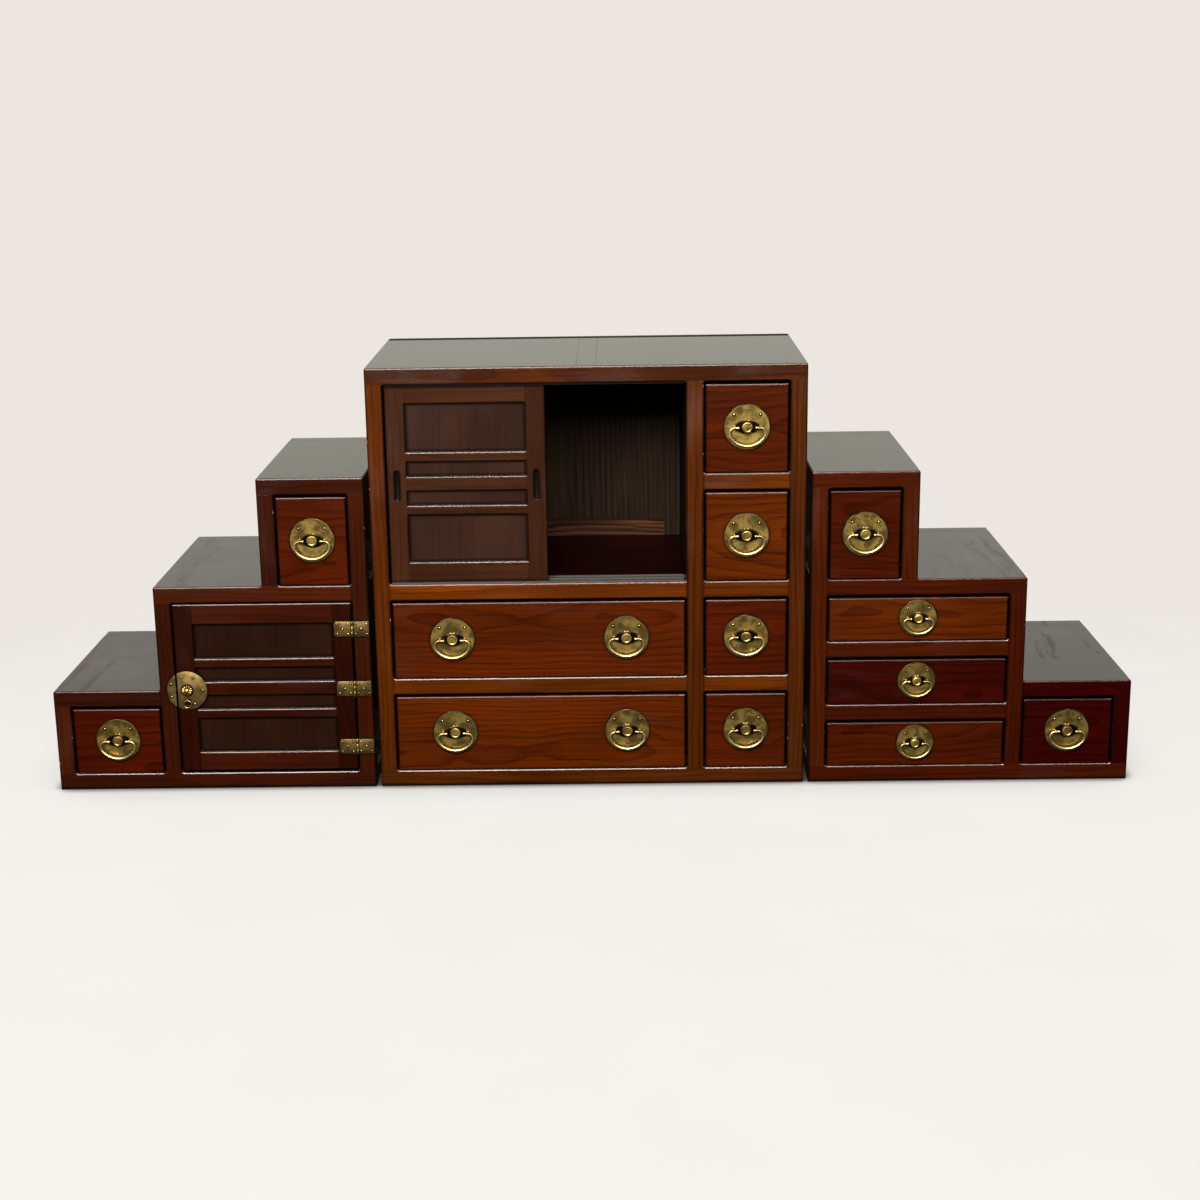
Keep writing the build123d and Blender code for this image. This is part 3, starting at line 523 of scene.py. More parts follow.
def wood_material(name, plain, warm, ring_width=0.009, wander=0.03, contrast=0.5, clean=0.16,
                  dull=0.34, coat=0.6, edge_coat=1.0, shine=0.0, gleam=0.35, worn=0.0, chips=0.4,
                  panel=False):
    """Stained wood under lacquer. Its grain follows the members' own grain coordinates.

    Contrast is the grain's, clean and dull are roughnesses, and gleam is the bare wood's own
    shine. Coat is the film of lacquer, edge_coat its share on the edges and shine that of rubbed
    ones. Worn and chips say how far the edges are rubbed and chipped; the paler colour of rubbed
    upper edges is also a painted highlight. A panel has little figure and sharp edges."""
    wood = SCENE.chest_wood
    tree, shader = new_material(name)
    point = attribute(tree, "grain_point")
    tone = attribute(tree, "member_tone", "Fac")
    grain = use_group(tree, "Wood grain", Point=point, Ring_Width=ring_width, Wander=wander)
    edges = use_group(tree, "Edge wear", Point=point, Chips=0.0 if panel else chips,
                      Width=0.0015 if panel else 0.0035)
    gloss = use_group(tree, "Dusty gloss", Point=point, Clean=clean, Dull=dull)
    tread = use_group(tree, "Tread edges", Height=object_point(tree).split()[2])["Mask"]

    figure = 0.25 if panel else 1.0
    shade = grain["Rings"] * (contrast * figure) + (
        remap(grain["Fibres"], 0.38, 0.70) * (contrast * 0.7) + grain["Pores"] * (contrast * 0.5))
    stain = blend(tone, rgba(plain), rgba(warm))
    stain = blend(shade, stain, times(stain, rgba(wood.grain_shade)))
    light = remap(grain["Blotches"], 0.3, 0.75, 0.78, 1.25)
    stain = times(stain, result(tree, "ShaderNodeCombineColor", {0: light, 1: light, 2: light}))
    # Rubbed upper edges: wear, with a paler colour that is a painted highlight
    stain = blend(edges["Rubbed"] * ((1.0 - tread) * worn), stain, rgba(wood.worn))
    # Painted shade on edges that look down or sideways
    stain = blend(edges["Shaded"] * 0.85, stain, rgba(wood.painted_edge_shade))
    stain = blend(edges["Chipped"], stain, rgba(wood.chip))
    # Grime and painted shade in corners and crevices
    stain = blend(edges["Grime"] * 0.8, stain, rgba(wood.dirt_and_shade))

    thin = (edges["Edge"] * (1.0 - edge_coat)).highest(tread).highest(edges["Shaded"])
    film = ((1.0 - thin) * coat).highest(edges["Rubbed"] * shine)
    height = grain["Fibres"] * 0.35 + (grain["Pores"] * -0.35 + gloss["Ripple"] * 1.2)
    feed(shader, Base_Color=stain, Roughness=gloss["Roughness"], Specular_IOR_Level=gleam,
         Coat_Weight=film, Coat_Roughness=0.1,
         Normal=bump(height, 0.25, 0.0006, Normal=edges["Normal"]))


def top_material(name):
    """Thick glossy lacquer of the tops, with streaks where it has been wiped and worn thin."""
    wood = SCENE.chest_wood
    tree, shader = new_material(name)
    point = object_point(tree)
    right, _, height = point.split()
    grain = use_group(tree, "Wood grain", Point=point, Ring_Width=0.012, Wander=0.04)
    edges = use_group(tree, "Edge wear", Point=point, Chips=0.5)
    gloss = use_group(tree, "Dusty gloss", Point=point, Clean=0.06, Dull=0.22)

    # The lower treads are worn most, and above all the lowest one on the right
    wear = remap(height, 0.15, 0.95, 0.8, 0.15) * remap(right, 0.80, 0.95, 0.7, 2.0)
    streaks = gloss["Streaks"] * wear
    edge = edges["Bend"] * 0.92
    stain = blend((grain["Rings"] + grain["Fibres"]) * 0.35, rgba(wood.top),
                  rgba(wood.top_grain))
    stain = blend(gloss["Smudges"] * 0.16, stain, rgba(wood.dust))
    stain = blend(streaks * 0.6, stain, rgba(wood.top_worn))
    stain = blend(edge, stain, rgba(wood.top_edge))
    stain = blend(edges["Chipped"], stain, rgba(wood.chip))

    seam = remap(abs(abs(right) - TOP_STRIP), 0.0018, 0.0006)
    mirror = remap(streaks.highest(seam * 0.45), 0.0, 0.8, 0.88, 0.25) * (1.0 - edge)
    relief = gloss["Ripple"] + grain["Fibres"] * 0.12
    feed(shader, Base_Color=stain, Roughness=gloss["Roughness"], Specular_IOR_Level=0.16,
         Coat_Weight=mirror, Coat_Roughness=0.05,
         Normal=bump(relief, 0.18, 0.0006, Normal=edges["Normal"]))


def bare_material(name, plain, ring_width=0.007, figure=0.45, depth=0.42, gleam=0.3):
    """Bare wood inside the cabinets and drawers. Figure is how much of the grain shows, and depth
    is what its darkest lines leave of the plain colour."""
    tree, shader = new_material(name)
    grain = use_group(tree, "Wood grain", Point=attribute(tree, "grain_point"),
                      Ring_Width=ring_width, Wander=0.035)
    shade = grain["Rings"] * figure + remap(grain["Fibres"], 0.35, 0.7) * (figure * 0.8)
    dark = tuple(value * depth for value in plain)
    pale = tuple(min(1.0, value * 1.35) for value in plain)
    stain = blend(shade, rgba(plain), rgba(dark))
    stain = blend(remap(grain["Blotches"], 0.45, 0.75, 0.0, 0.6), stain, rgba(pale))
    feed(shader, Base_Color=stain, Roughness=remap(grain["Fibres"], 0.2, 0.8, 0.55, 0.75),
         Specular_IOR_Level=gleam,
         Normal=bump(grain["Fibres"] - grain["Pores"] * 0.6, 0.4, 0.0006))


def plate_patina_and_bail_shadow(tree):
    """How dark a handle plate is: patina about the boss and eyes, the rim and the rivets, and a
    painted shadow of the bail.
    """
    point = attribute(tree, "plate_point")
    _, up, depth = point.split()
    flat = point.vector("MULTIPLY", (1.0, 1.0, 0.0))
    low = remap(depth, 0.0040, 0.0060, 1.0, 0.10)
    from_boss = point.vector("MULTIPLY", (1 / 0.031, 1 / 0.0165, 0.0)).length()
    near = remap(from_boss, 1.45, 0.55, 0.0, 0.9) * low
    rim = remap(flat.length(), 0.0425, 0.0465, 0.0, 0.75)
    from_rivet = flat.vector("ABSOLUTE").vector("DISTANCE", (0.027, 0.026, 0.0), output="Value")
    rivets = remap(from_rivet, 0.0052, 0.0030) * remap(from_rivet, 0.0016, 0.0026, 0.2, 1.0)
    along_bail = point.vector("MULTIPLY", (1 / 0.0365, 1 / 0.0375, 0.0)).length()
    # Painted shadow of the hanging bail on the plate, below its axis
    behind = remap(abs(along_bail - 0.98), 0.20, 0.06, 0.0, 0.62) * low
    behind = behind * remap(up, 0.004, -0.004)
    return near.highest(rim).highest(rivets).highest(behind)


def brass_material(name, bright, olive, around_boss=False, patina_and_shade=0.0, metallic=0.94, gleam=0.3):
    """Aged brass, all of it as dark as the given share of patina and painted shade, or darkened
    about the boss of a plate by patina and a painted shadow of the bail.
    """
    tree, shader = new_material(name)
    aged = use_group(tree, "Aged brass", Point=object_point(tree), Bright=rgba(bright),
                     Hollow=plate_patina_and_bail_shadow(tree) if around_boss else patina_and_shade,
                     Olive=rgba(olive), Dark=rgba(SCENE.chest_brass.patina_and_shade))
    feed(shader, Base_Color=aged["Color"], Roughness=aged["Roughness"], Metallic=metallic,
         Specular_IOR_Level=gleam, Normal=bump(aged["Height"], 0.22, 0.0003))


class FinishOperator(bpy.types.Operator):
    """Make the shared effects, lacquers and brass"""

    bl_idname = "chest.finishes"
    bl_label = "Finishes"

    def execute(self, context):
        wood, brass = context.scene.chest_wood, context.scene.chest_brass
        for build in (build_grain_group, build_edge_group, build_tread_group, build_dust_group,
                      build_patina_group):
            build()
        wood_material("centre_lacquer", wood.centre, wood.centre_warm, contrast=0.55, worn=0.55,
                      chips=0.9)
        wood_material("left_lacquer", wood.left, wood.left_warm, contrast=0.45, worn=0.6,
                      chips=0.5)
        wood_material("right_lacquer", wood.right, wood.right_warm, worn=0.5, chips=0.6)
        wood_material("drawer_front_lacquer", wood.drawer, wood.drawer_warm, ring_width=0.011,
                      wander=0.075, contrast=0.6, coat=0.7, edge_coat=0.12, worn=0.10, chips=0.3,
                      gleam=0.22)
        wood_material("sliding_lacquer", wood.slider, wood.slider_warm, contrast=0.35, worn=0.75,
                      chips=0.5, coat=0.3, shine=1.0, gleam=0.25)
        wood_material("sliding_panel_lacquer", wood.slider_panel, wood.slider_panel, panel=True,
                      contrast=0.3, coat=0.25, clean=0.26, dull=0.36, gleam=0.1)
        wood_material("hinged_lacquer", wood.door, wood.door_warm, contrast=0.35, worn=0.8,
                      coat=0.45, shine=1.0, gleam=0.25)
        wood_material("hinged_panel_lacquer", wood.door_panel, wood.door_panel, panel=True,
                      contrast=0.3, coat=0.35, clean=0.2, dull=0.32, gleam=0.15)
        wood_material("compartment_floor_lacquer", wood.inside_floor, wood.inside_floor,
                      contrast=0.35, coat=0.0, clean=0.3, dull=0.4, chips=0.1, gleam=0.03)
        for name, plain, gleam in (("inside_lacquer", wood.inside, 0.08),
                                   ("inside_side", wood.inside_side, 0.05)):
            bare_material(name, plain, ring_width=0.011, figure=0.8, depth=0.16, gleam=gleam)
        bare_material("inside_rail", wood.inside_rail, ring_width=0.006, figure=1.1, depth=0.06,
                      gleam=0.1)
        top_material("top_lacquer")
        bare_material("bare_wood", wood.bare)
        bare_material("worn_sill", wood.track)
        brass_material("plate_brass", brass.bright, brass.olive, around_boss=True)
        brass_material("plain_brass", brass.bright, brass.olive)
        brass_material("bail_brass", brass.bail, brass.bail_olive)
        brass_material("dull_brass", brass.dull, brass.dull_olive)
        # Near-black brass: painted shade in the finger pulls' cups, at the fittings' rims, about
        # rivets and behind the drop ring
        brass_material("dark_brass", brass.dull, brass.dull_olive, patina_and_shade=1.6, metallic=0.0,
                       gleam=0.03)
        return {"FINISHED"}


# ------------------------------------------------------------------ wood on the fixed nodes

PER_MICRON = 1e6  # points that share a micrometre are one

def solids_of(mesh):
    """The number of the solid that each vertex belongs to, and how many there are."""
    count = len(mesh.vertices)
    places = np.zeros(count * 3, np.float32)
    mesh.vertices.foreach_get("co", places)
    places = places.reshape(-1, 3)
    grid = np.round(places * PER_MICRON).astype(np.int64)
    _, joined = np.unique(grid, axis=0, return_inverse=True)
    joined = joined.ravel()
    ends = np.zeros(len(mesh.edges) * 2, np.int64)
    mesh.edges.foreach_get("vertices", ends)
    first, second = joined[ends.reshape(-1, 2)].T
    label = np.arange(joined.max() + 1)
    while True:
        lowest = np.minimum(label[first], label[second])
        before = label.copy()
        np.minimum.at(label, first, lowest)
        np.minimum.at(label, second, lowest)
        label = label[label]
        if (label == before).all():
            break
    _, solid = np.unique(label[joined], return_inverse=True)
    return places, solid.ravel(), int(solid.max()) + 1


# Members whose tone is set: node, x and z of a point in the member's face, tone from 0 to 1
MEMBER_TONES = {
    "centre_frame": ((-0.1, 0.88, 0.05), (-0.433, 0.4, 0.34), (-0.1, 0.43, 1.0),
                     (-0.1, 0.22, 0.72), (-0.1, 0.017, 0.10), (0.22, 0.4, 0.22),
                     (0.432, 0.4, 0.08)),
    "left_frame": ((-0.7, 0.43, 0.9), (-0.665, 0.54, 0.25), (-0.8, 0.017, 0.3),
                   (-0.478, 0.4, 0.45), (-1.0, 0.2, 0.0), (-0.89, 0.3, 0.14)),
    "right_frame": ((0.478, 0.4, 0.65), (0.686, 0.43, 0.38), (0.686, 0.15, 0.4),
                    (0.686, 0.29, 0.5), (0.8, 0.017, 0.45), (1.0, 0.2, 0.0), (1.12, 0.1, 0.0),
                    (0.89, 0.3, 0.35)),
    "hinged_door": ((-0.853, 0.2, 0.15), (-0.519, 0.2, 0.1), (-0.7, 0.39, 1.0),
                    (-0.7, 0.05, 0.7)),
    "drawer_wide_lower": ((-0.1, 0.12, 0.79),),
    "drawer_wide_upper": ((-0.1, 0.32, 0.61),),
    "drawer_narrow_bottom": ((0.327, 0.12, 0.44),),
    "drawer_narrow_lower": ((0.327, 0.32, 0.32),),
    "drawer_narrow_upper": ((0.327, 0.54, 0.95),),
    "drawer_narrow_top": ((0.327, 0.77, 0.45),),
    "drawer_left_upper": ((-0.572, 0.54, 0.35),),
    "drawer_left_step": ((-1.007, 0.11, 0.2),),
    "drawer_right_upper": ((0.572, 0.54, 0.28),),
    "drawer_right_wide_top": ((0.686, 0.36, 0.75),),
    "drawer_right_wide_middle": ((0.686, 0.22, 0.06),),
    "drawer_right_wide_bottom": ((0.686, 0.086, 0.4),),
    "drawer_right_step": ((1.007, 0.11, 0.0),),
}


def lay_grain(node, heading):
    """Writes each solid's grain coordinates and tone; returns the solids' boxes and numbers.

    The grain runs along a solid's longest side, or along the axis that heading names."""
    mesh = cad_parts[node].data
    places, solid, count = solids_of(mesh)
    chance = random.Random(node)
    points = np.zeros_like(places)
    tones = np.zeros(len(places), np.float32)
    boxes = []
    for number in range(count):
        mine = solid == number
        low, high = places[mine].min(0), places[mine].max(0)
        boxes.append((low, high))
        order = list(np.argsort(low - high))
        axis = heading(low, high) if heading else order[0]
        order.remove(axis)
        order.insert(0, axis)
        shift = np.array([chance.uniform(*reach) for reach in SAWN_FROM])
        points[mine] = (places[mine] - (low + high) / 2)[:, order] + shift
        tone = chance.uniform(*TONES)
        for x, z, set_tone in MEMBER_TONES.get(node, ()):
            if low[0] <= x <= high[0] and low[2] <= z <= high[2] and low[1] < FRONT_MEMBERS:
                tone = set_tone
        tones[mine] = tone
    mesh.attributes.new("grain_point", "FLOAT_VECTOR", "POINT").data.foreach_set(
        "vector", points.astype(np.float32).ravel())
    mesh.attributes.new("member_tone", "FLOAT", "POINT").data.foreach_set("value", tones)
    return boxes, solid


def dress(node, names, choose, heading=None):
    """Gives a fixed node its materials: choose(low, high, normal, middle) names a face's own."""
    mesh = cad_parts[node].data
    boxes, solid = lay_grain(node, heading)
    mesh.materials.clear()
    for name in names:
        mesh.materials.append(bpy.data.materials[name])
    for face in mesh.polygons:
        low, high = boxes[solid[face.vertices[0]]]
        face.material_index = names.index(choose(low, high, face.normal, face.center))


def is_top(normal, middle):
    """Whether a face looks up at the level of a top or tread."""
    return normal.z > 0.8 and any(abs(middle.z - level) < 0.8 * MM for level in TOP_LEVELS)


def frame_finish(cabinet, low, high, normal, middle):
    """The finish of a face of a cabinet's posts and rails."""
    centre = cabinet == "centre"
    if centre and low[1] > REAR_RAILS and normal.y < 0.5:
        return "inside_rail" if high[2] < HALFWAY else "inside_lacquer"
    on_step = centre and middle.z < CENTRE_TOP - 1 * MM
    return "top_lacquer" if is_top(normal, middle) and not on_step else f"{cabinet}_lacquer"


def board_finish(cabinet, low, high, normal, middle):
    """The finish of a face of a cabinet's boards and panels."""
    lacquer, centre = f"{cabinet}_lacquer", cabinet == "centre"
    deep, tall = (high - low)[1:]
    if deep < THIN:  # back panels
        return "inside_lacquer" if normal.y < 0 else lacquer
    if tall < THIN:  # tops, floors and bottoms
        if centre and high[2] < CENTRE_TOP - 10 * MM:
            return "compartment_floor_lacquer" if high[2] > COMPARTMENT else "bare_wood"
        if is_top(normal, middle):
            return "top_lacquer"
        return "bare_wood" if normal.z < 0 else lacquer
    if centre:  # side panels
        outer = abs(middle.x) > abs((low[0] + high[0]) / 2)
    else:
        outer = abs(normal.x) > 0.5
    return lacquer if outer else "inside_lacquer"


def runner_finish(low, high, normal, middle):
    """Bare wood, but lacquer on the side of the partition that shows in the compartment."""
    skin = high[0] - low[0] < THIN and high[2] > 0.8
    return "inside_side" if skin and normal.x < -0.5 and low[0] < PARTITION else "bare_wood"


class CarcassOperator(bpy.types.Operator):
    """Lacquer the frames, boards and inner parts of the three cabinets"""

    bl_idname = "chest.carcass"
    bl_label = "Carcass"

    def execute(self, context):
        for cabinet in ("centre", "left", "right"):
            lacquers = (f"{cabinet}_lacquer", "top_lacquer", "inside_lacquer")
            dress(f"{cabinet}_frame", (*lacquers, "inside_rail"), partial(frame_finish, cabinet))
            dress(f"{cabinet}_boards", (*lacquers, "compartment_floor_lacquer", "bare_wood"),
                  partial(board_finish, cabinet),
                  lambda low, high: ACROSS if high[2] - low[2] < THIN else UPRIGHT)
            dress(f"{cabinet}_runners", ("bare_wood", "inside_side"), runner_finish,
                  lambda low, high: UPRIGHT if high[2] - low[2] > 0.3 else INWARD)
        dress("centre_door_tracks", ("worn_sill", "inside_side"),
              lambda low, high, normal, middle: "worn_sill" if high[2] < HALFWAY else "inside_side")
        return {"FINISHED"}


class DrawerOperator(bpy.types.Operator):
    """Lacquer the drawer fronts and finish the drawer boxes in bare wood"""

    bl_idname = "chest.drawers"
    bl_label = "Drawers"

    def execute(self, context):
        def finish(low, high, normal, middle):
            front = low[1] < DRAWER_FACE + 1 * MM
            return "drawer_front_lacquer" if front and normal.y < 0.5 else "bare_wood"

        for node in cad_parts:
            if node.startswith("drawer_"):
                dress(node, ("drawer_front_lacquer", "bare_wood"), finish,
                      lambda low, high: INWARD if high[0] - low[0] < THIN else ACROSS)
        return {"FINISHED"}


class DoorOperator(bpy.types.Operator):
    """Lacquer the doors and their thin panels"""

    bl_idname = "chest.doors"
    bl_label = "Doors"

    def execute(self, context):
        def is_panel(low, high):
            return high[1] - low[1] < 7 * MM

        def heading(low, high):
            tall = high[2] - low[2] > high[0] - low[0]
            return UPRIGHT if is_panel(low, high) or tall else ACROSS

        for node, kind in (("sliding_door_front", "sliding"), ("sliding_door_rear", "sliding"),
                           ("hinged_door", "hinged")):
            names = (f"{kind}_lacquer", f"{kind}_panel_lacquer")
            dress(node, names,
                  lambda low, high, normal, middle: names[1 if is_panel(low, high) else 0], heading)
        return {"FINISHED"}


# ------------------------------------------------------------------ shapes of the brass

# Kinds of brass on the fittings of the hinged door, as the places of their materials
# DARK, near-black brass, is painted shade at the rims, about the rivets and behind the drop ring
DULL, DARK, PLAIN = 0, 1, 2


def turn(steps):
    """The angles of a full turn in even steps."""
    return [2 * math.pi * step / steps for step in range(steps)]


class Shape:
    """Points and faces of one brass piece, in metres: x to the right, y to the front, z up.

    Here y counts from the face that carries the piece, out to the front."""

    def __init__(self, x, face, z, size=1.0, kind=DULL):
        self.origin = Vector((x, face, z))
        self.size = size
        self.points, self.faces, self.kinds, self.local = [], [], [], []
        self.kind = kind

    def add(self, points, faces):
        """Adds points and the faces between them, in the present kind of brass."""
        first = len(self.points)
        for x, y, z in points:
            self.points.append(self.origin + Vector((x, -y, z)))
            self.local.append((x / self.size, z / self.size, y / self.size))
        self.faces += [tuple(first + index for index in face) for face in faces]
        self.kinds += [self.kind] * len(faces)

    def take(self, other):
        """Adds another shape, whose points are already in place."""
        first = len(self.points)
        self.points += other.points
        self.local += other.local
        self.faces += [tuple(first + index for index in face) for face in other.faces]
        self.kinds += other.kinds

    def sheath(self, rows, closed=False, caps=()):
        """Rows of points, each joined to the next, then flat faces over the rows in caps.

        A row may be a single point. Closed rows join up again with the first."""
        numbers = iter(range(sum(map(len, rows))))
        numbered = [[next(numbers) for _ in row] for row in rows]
        following = numbered[1:] + numbered[:1] if closed else numbered[1:]
        faces = []
        for before, after in zip(numbered, following):
            for step in range(max(len(before), len(after))):
                corners = ((before, step), (before, step + 1), (after, step + 1), (after, step))
                faces.append(tuple(dict.fromkeys(row[at % len(row)] for row, at in corners)))
        faces += [tuple(numbered[row]) for row in caps]
        self.add([point for row in rows for point in row], faces)

    def turned(self, profile, steps, x=0.0, z=0.0, reach=None):
        """A turned form about the line to the front: profile holds (radius, y) from the middle
        of the front to the back; reach(angle, radius) may change a radius."""
        rows = []
        for radius, y in profile:
            row = [(x, y, z)]
            if radius > TINY:
                row = []
                for angle in turn(steps):
                    there = reach(angle, radius) if reach else radius
                    row.append((x + there * math.cos(angle), y, z + there * math.sin(angle)))
            rows.append(row)
        self.sheath(rows)

    def wire(self, path, radii, sides=12):
        """A round wire along a path of (x, y, z), closed at its ends."""
        path = [Vector(point) for point in path]
        along = [(after - before).normalized()
                 for before, after in zip(path[:1] + path[:-1], path[1:] + path[-1:])]
        side = along[0].orthogonal().normalized()
        rows = [path[:1]]
        for point, heading, radius in zip(path, along, radii):
            side = (side - heading * side.dot(heading)).normalized()
            other = heading.cross(side)
            rows.append([point + (side * math.cos(angle) + other * math.sin(angle)) * radius
                         for angle in turn(sides)])
        self.sheath([*rows, path[-1:]])

    def ring(self, centre, radius, steps, wire, across, sides=10):
        """An upright wire ring about (x, y, z), in the plane of up and the axis across."""
        centre, across, up = Vector(centre), Vector(across), Vector((0, 0, 1))
        normal = across.cross(up)
        rows = []
        for place in turn(steps):
            outward = across * math.cos(place) + up * math.sin(place)
            rows.append([centre + outward * radius
                         + (outward * math.cos(angle) + normal * math.sin(angle)) * wire
                         for angle in turn(sides)])
        self.sheath(rows, closed=True)

    def ball(self, x, y, z, radius):
        """A small ball."""
        rows = 6
        angles = [math.pi * row / rows for row in range(rows + 1)]
        self.turned([(radius * math.sin(angle), y + radius * math.cos(angle)) for angle in angles],
                    2 * rows, x, z)

    def plate(self, outline, back, front, edge, rim=None):
        """A flat sheet with an eased front edge, of another kind where rim names one.

        The outline holds (x, z), counter-clockwise."""
        count = len(outline)
        middle = Vector((sum(x for x, _ in outline) / count, sum(z for _, z in outline) / count))
        inner = []
        for x, z in outline:
            away = Vector((x, z)) - middle
            inner.append(middle + away * max(0.0, 1 - edge / away.length))
        self.sheath((
            [(x, back, z) for x, z in outline],
            [(x, front - edge, z) for x, z in outline],
            [(in_x * 0.3 + x * 0.7, front - edge * 0.3, in_z * 0.3 + z * 0.7)
             for (in_x, in_z), (x, z) in zip(inner, outline)],
            [(x, front, z) for x, z in inner],
        ), caps=(0, 3))
        if rim is not None:
            self.kinds[-3 * count - 2:-2] = [rim] * (3 * count)

    def finish(self, name, body, replaced, *materials):
        """The piece as an object that rides on a body and stands for the replaced nodes."""
        mesh = bpy.data.meshes.new(name)
        mesh.from_pydata(self.points, [], self.faces)
        for material in materials:
            mesh.materials.append(bpy.data.materials[material])
        mesh.polygons.foreach_set("material_index", self.kinds)
        local = mesh.attributes.new("plate_point", "FLOAT_VECTOR", "POINT")
        local.data.foreach_set("vector", np.array(self.local, np.float32).ravel())
        shaped = bmesh.new()
        shaped.from_mesh(mesh)
        bmesh.ops.recalc_face_normals(shaped, faces=shaped.faces)
        shaped.to_mesh(mesh)
        shaped.free()
        mesh.shade_smooth()
        mesh.set_sharp_from_angle(angle=SOFT_UP_TO)
        item = bpy.data.objects.new(name, mesh)
        SCENE.collection.objects.link(item)
        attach(item, body)
        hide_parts(*replaced)


def arc(x, z, radius, start, end, steps):
    """Points of an arc about (x, z), angles in degrees."""
    angles = [math.radians(start + (end - start) * step / steps) for step in range(steps + 1)]
    return [(x + radius * math.cos(angle), z + radius * math.sin(angle)) for angle in angles]


def rivet(shape, x, z, y, radius, dirt_and_shade=False):
    """A domed rivet head, on a dark ring of grime and painted shade where wanted."""
    height = 1.4 * MM
    if dirt_and_shade:
        # A dark ring about the rivet's foot: grime and painted shade
        kind, shape.kind = shape.kind, DARK
        shape.turned([(0.0, y + 0.12 * MM), (radius * 1.3, y + 0.1 * MM),
                      (radius * 1.55, y + 0.02 * MM), (radius * 1.55, y - 0.1 * MM)], 18, x, z)
        shape.kind = kind
    shape.turned([(0.0, y + height), (radius * 0.45, y + height * 0.93),
                  (radius * 0.8, y + height * 0.62), (radius, y + height * 0.18),
                  (radius * 1.08, y), (radius * 1.08, y - 0.3 * MM)], 14, x, z)


def corners_of(x, z):
    """The four points at x to either side and z above and below."""
    return [(across * x, up * z) for across in (-1, 1) for up in (-1, 1)]


# ------------------------------------------------------------------ handles

# Drawers with the x of each handle, the z of its middle and whether its plate is small
DRAWER_HANDLES = {
    "wide_lower": ((-0.2885, 0.0765), 0.12, False),
    "wide_upper": ((-0.2885, 0.0765), 0.3255, False),
    "narrow_bottom": ((0.327,), 0.12, False),
    "narrow_lower": ((0.327,), 0.3255, False),
    "narrow_upper": ((0.327,), 0.543, False),
    "narrow_top": ((0.327,), 0.77, False),
    "left_upper": ((-0.572,), 0.543, False),
    "left_step": ((-1.007,), 0.11, False),
    "right_upper": ((0.572,), 0.543, False),
    "right_wide_bottom": ((0.686,), 0.086, True),
    "right_wide_middle": ((0.686,), 0.224, True),
    "right_wide_top": ((0.686,), 0.361, True),
    "right_step": ((1.007,), 0.11, False),
}


def handle_size(small):
    """The scale of a handle, one for a large plate."""
    sizes = SCENE.chest_handle
    return sizes.small_plate_radius / sizes.plate_radius if small else 1.0


def handle_plate(x, z, size):
    """Round plate with rivets, scalloped flange, rimmed boss and two eyes for the bail."""
    sizes = SCENE.chest_handle
    shape = Shape(x, DRAWER_FACE - GAP, z, size)
    front = sizes.sheet
    radius = sizes.plate_radius * size
    shape.turned([(0.0, front - 0.1 * MM), (radius * 0.5, front - 0.12 * MM),
                  (radius - 3.0 * MM, front - 0.1 * MM), (radius - 1.6 * MM, front),
                  (radius - 0.7 * MM, front - 0.15 * MM), (radius - 0.15 * MM, front * 0.55),
                  (radius, front * 0.3), (radius, 0.0), (0.0, 0.0)], 72)
    for rivet_x, rivet_z in corners_of(sizes.rivet_x * size, sizes.rivet_z * size):
        rivet(shape, rivet_x, rivet_z, front, sizes.rivet_radius * size)
    add_flange(shape, sizes.flange_radius * size, sizes.petals, front)
    add_boss(shape, sizes.boss_radius * size, front)
    for side in (-1, 1):
        add_eye(shape, side * sizes.pivot_x * size, front, front + sizes.standoff * size, size)
    return shape


def add_flange(shape, flange, petals, front):
    """The scalloped disc behind the boss."""
    plain = flange * 0.55

    def scallop(angle, radius):
        share = max(0.0, radius - plain) / (flange - plain)
        return radius * (1 - 0.11 * share * (1 - abs(math.sin(angle * petals / 2))) ** 0.8)

    shape.turned([(0.0, front + 1.9 * MM), (plain, front + 1.9 * MM),
                  (flange * 0.78, front + 2.0 * MM), (flange * 0.92, front + 1.5 * MM),
                  (flange, front + 0.5 * MM), (flange, front - 0.05 * MM)], 144, reach=scallop)


def add_boss(shape, boss, front):
    """The round boss, with a raised rim about its sunk middle."""
    top = front + 7.6 * MM
    shape.turned([(0.0, top - 0.9 * MM), (boss * 0.52, top - 0.8 * MM),
                  (boss * 0.62, top - 0.9 * MM), (boss * 0.70, top - 0.25 * MM),
                  (boss * 0.80, top), (boss * 0.92, top - 0.45 * MM), (boss, top - 1.7 * MM),
                  (boss, front + 3.2 * MM), (boss * 1.1, front + 2.2 * MM),
                  (boss * 1.1, front + 1.8 * MM)], 48)


def add_eye(shape, x, front, axis, size):
    """An eye for the bail, on a flared stem."""
    scale = MM * size
    shape.turned([(2.1 * scale, axis - 3.0 * scale), (2.0 * scale, front + 2 * scale),
                  (3.0 * scale, front + 0.9 * scale), (4.2 * scale, front + 0.2 * MM),
                  (4.2 * scale, front - 0.05 * MM)], 20, x)
    shape.ring((x, axis, 0.0), 3.75 * scale, 24, 1.05 * scale, FORWARD)


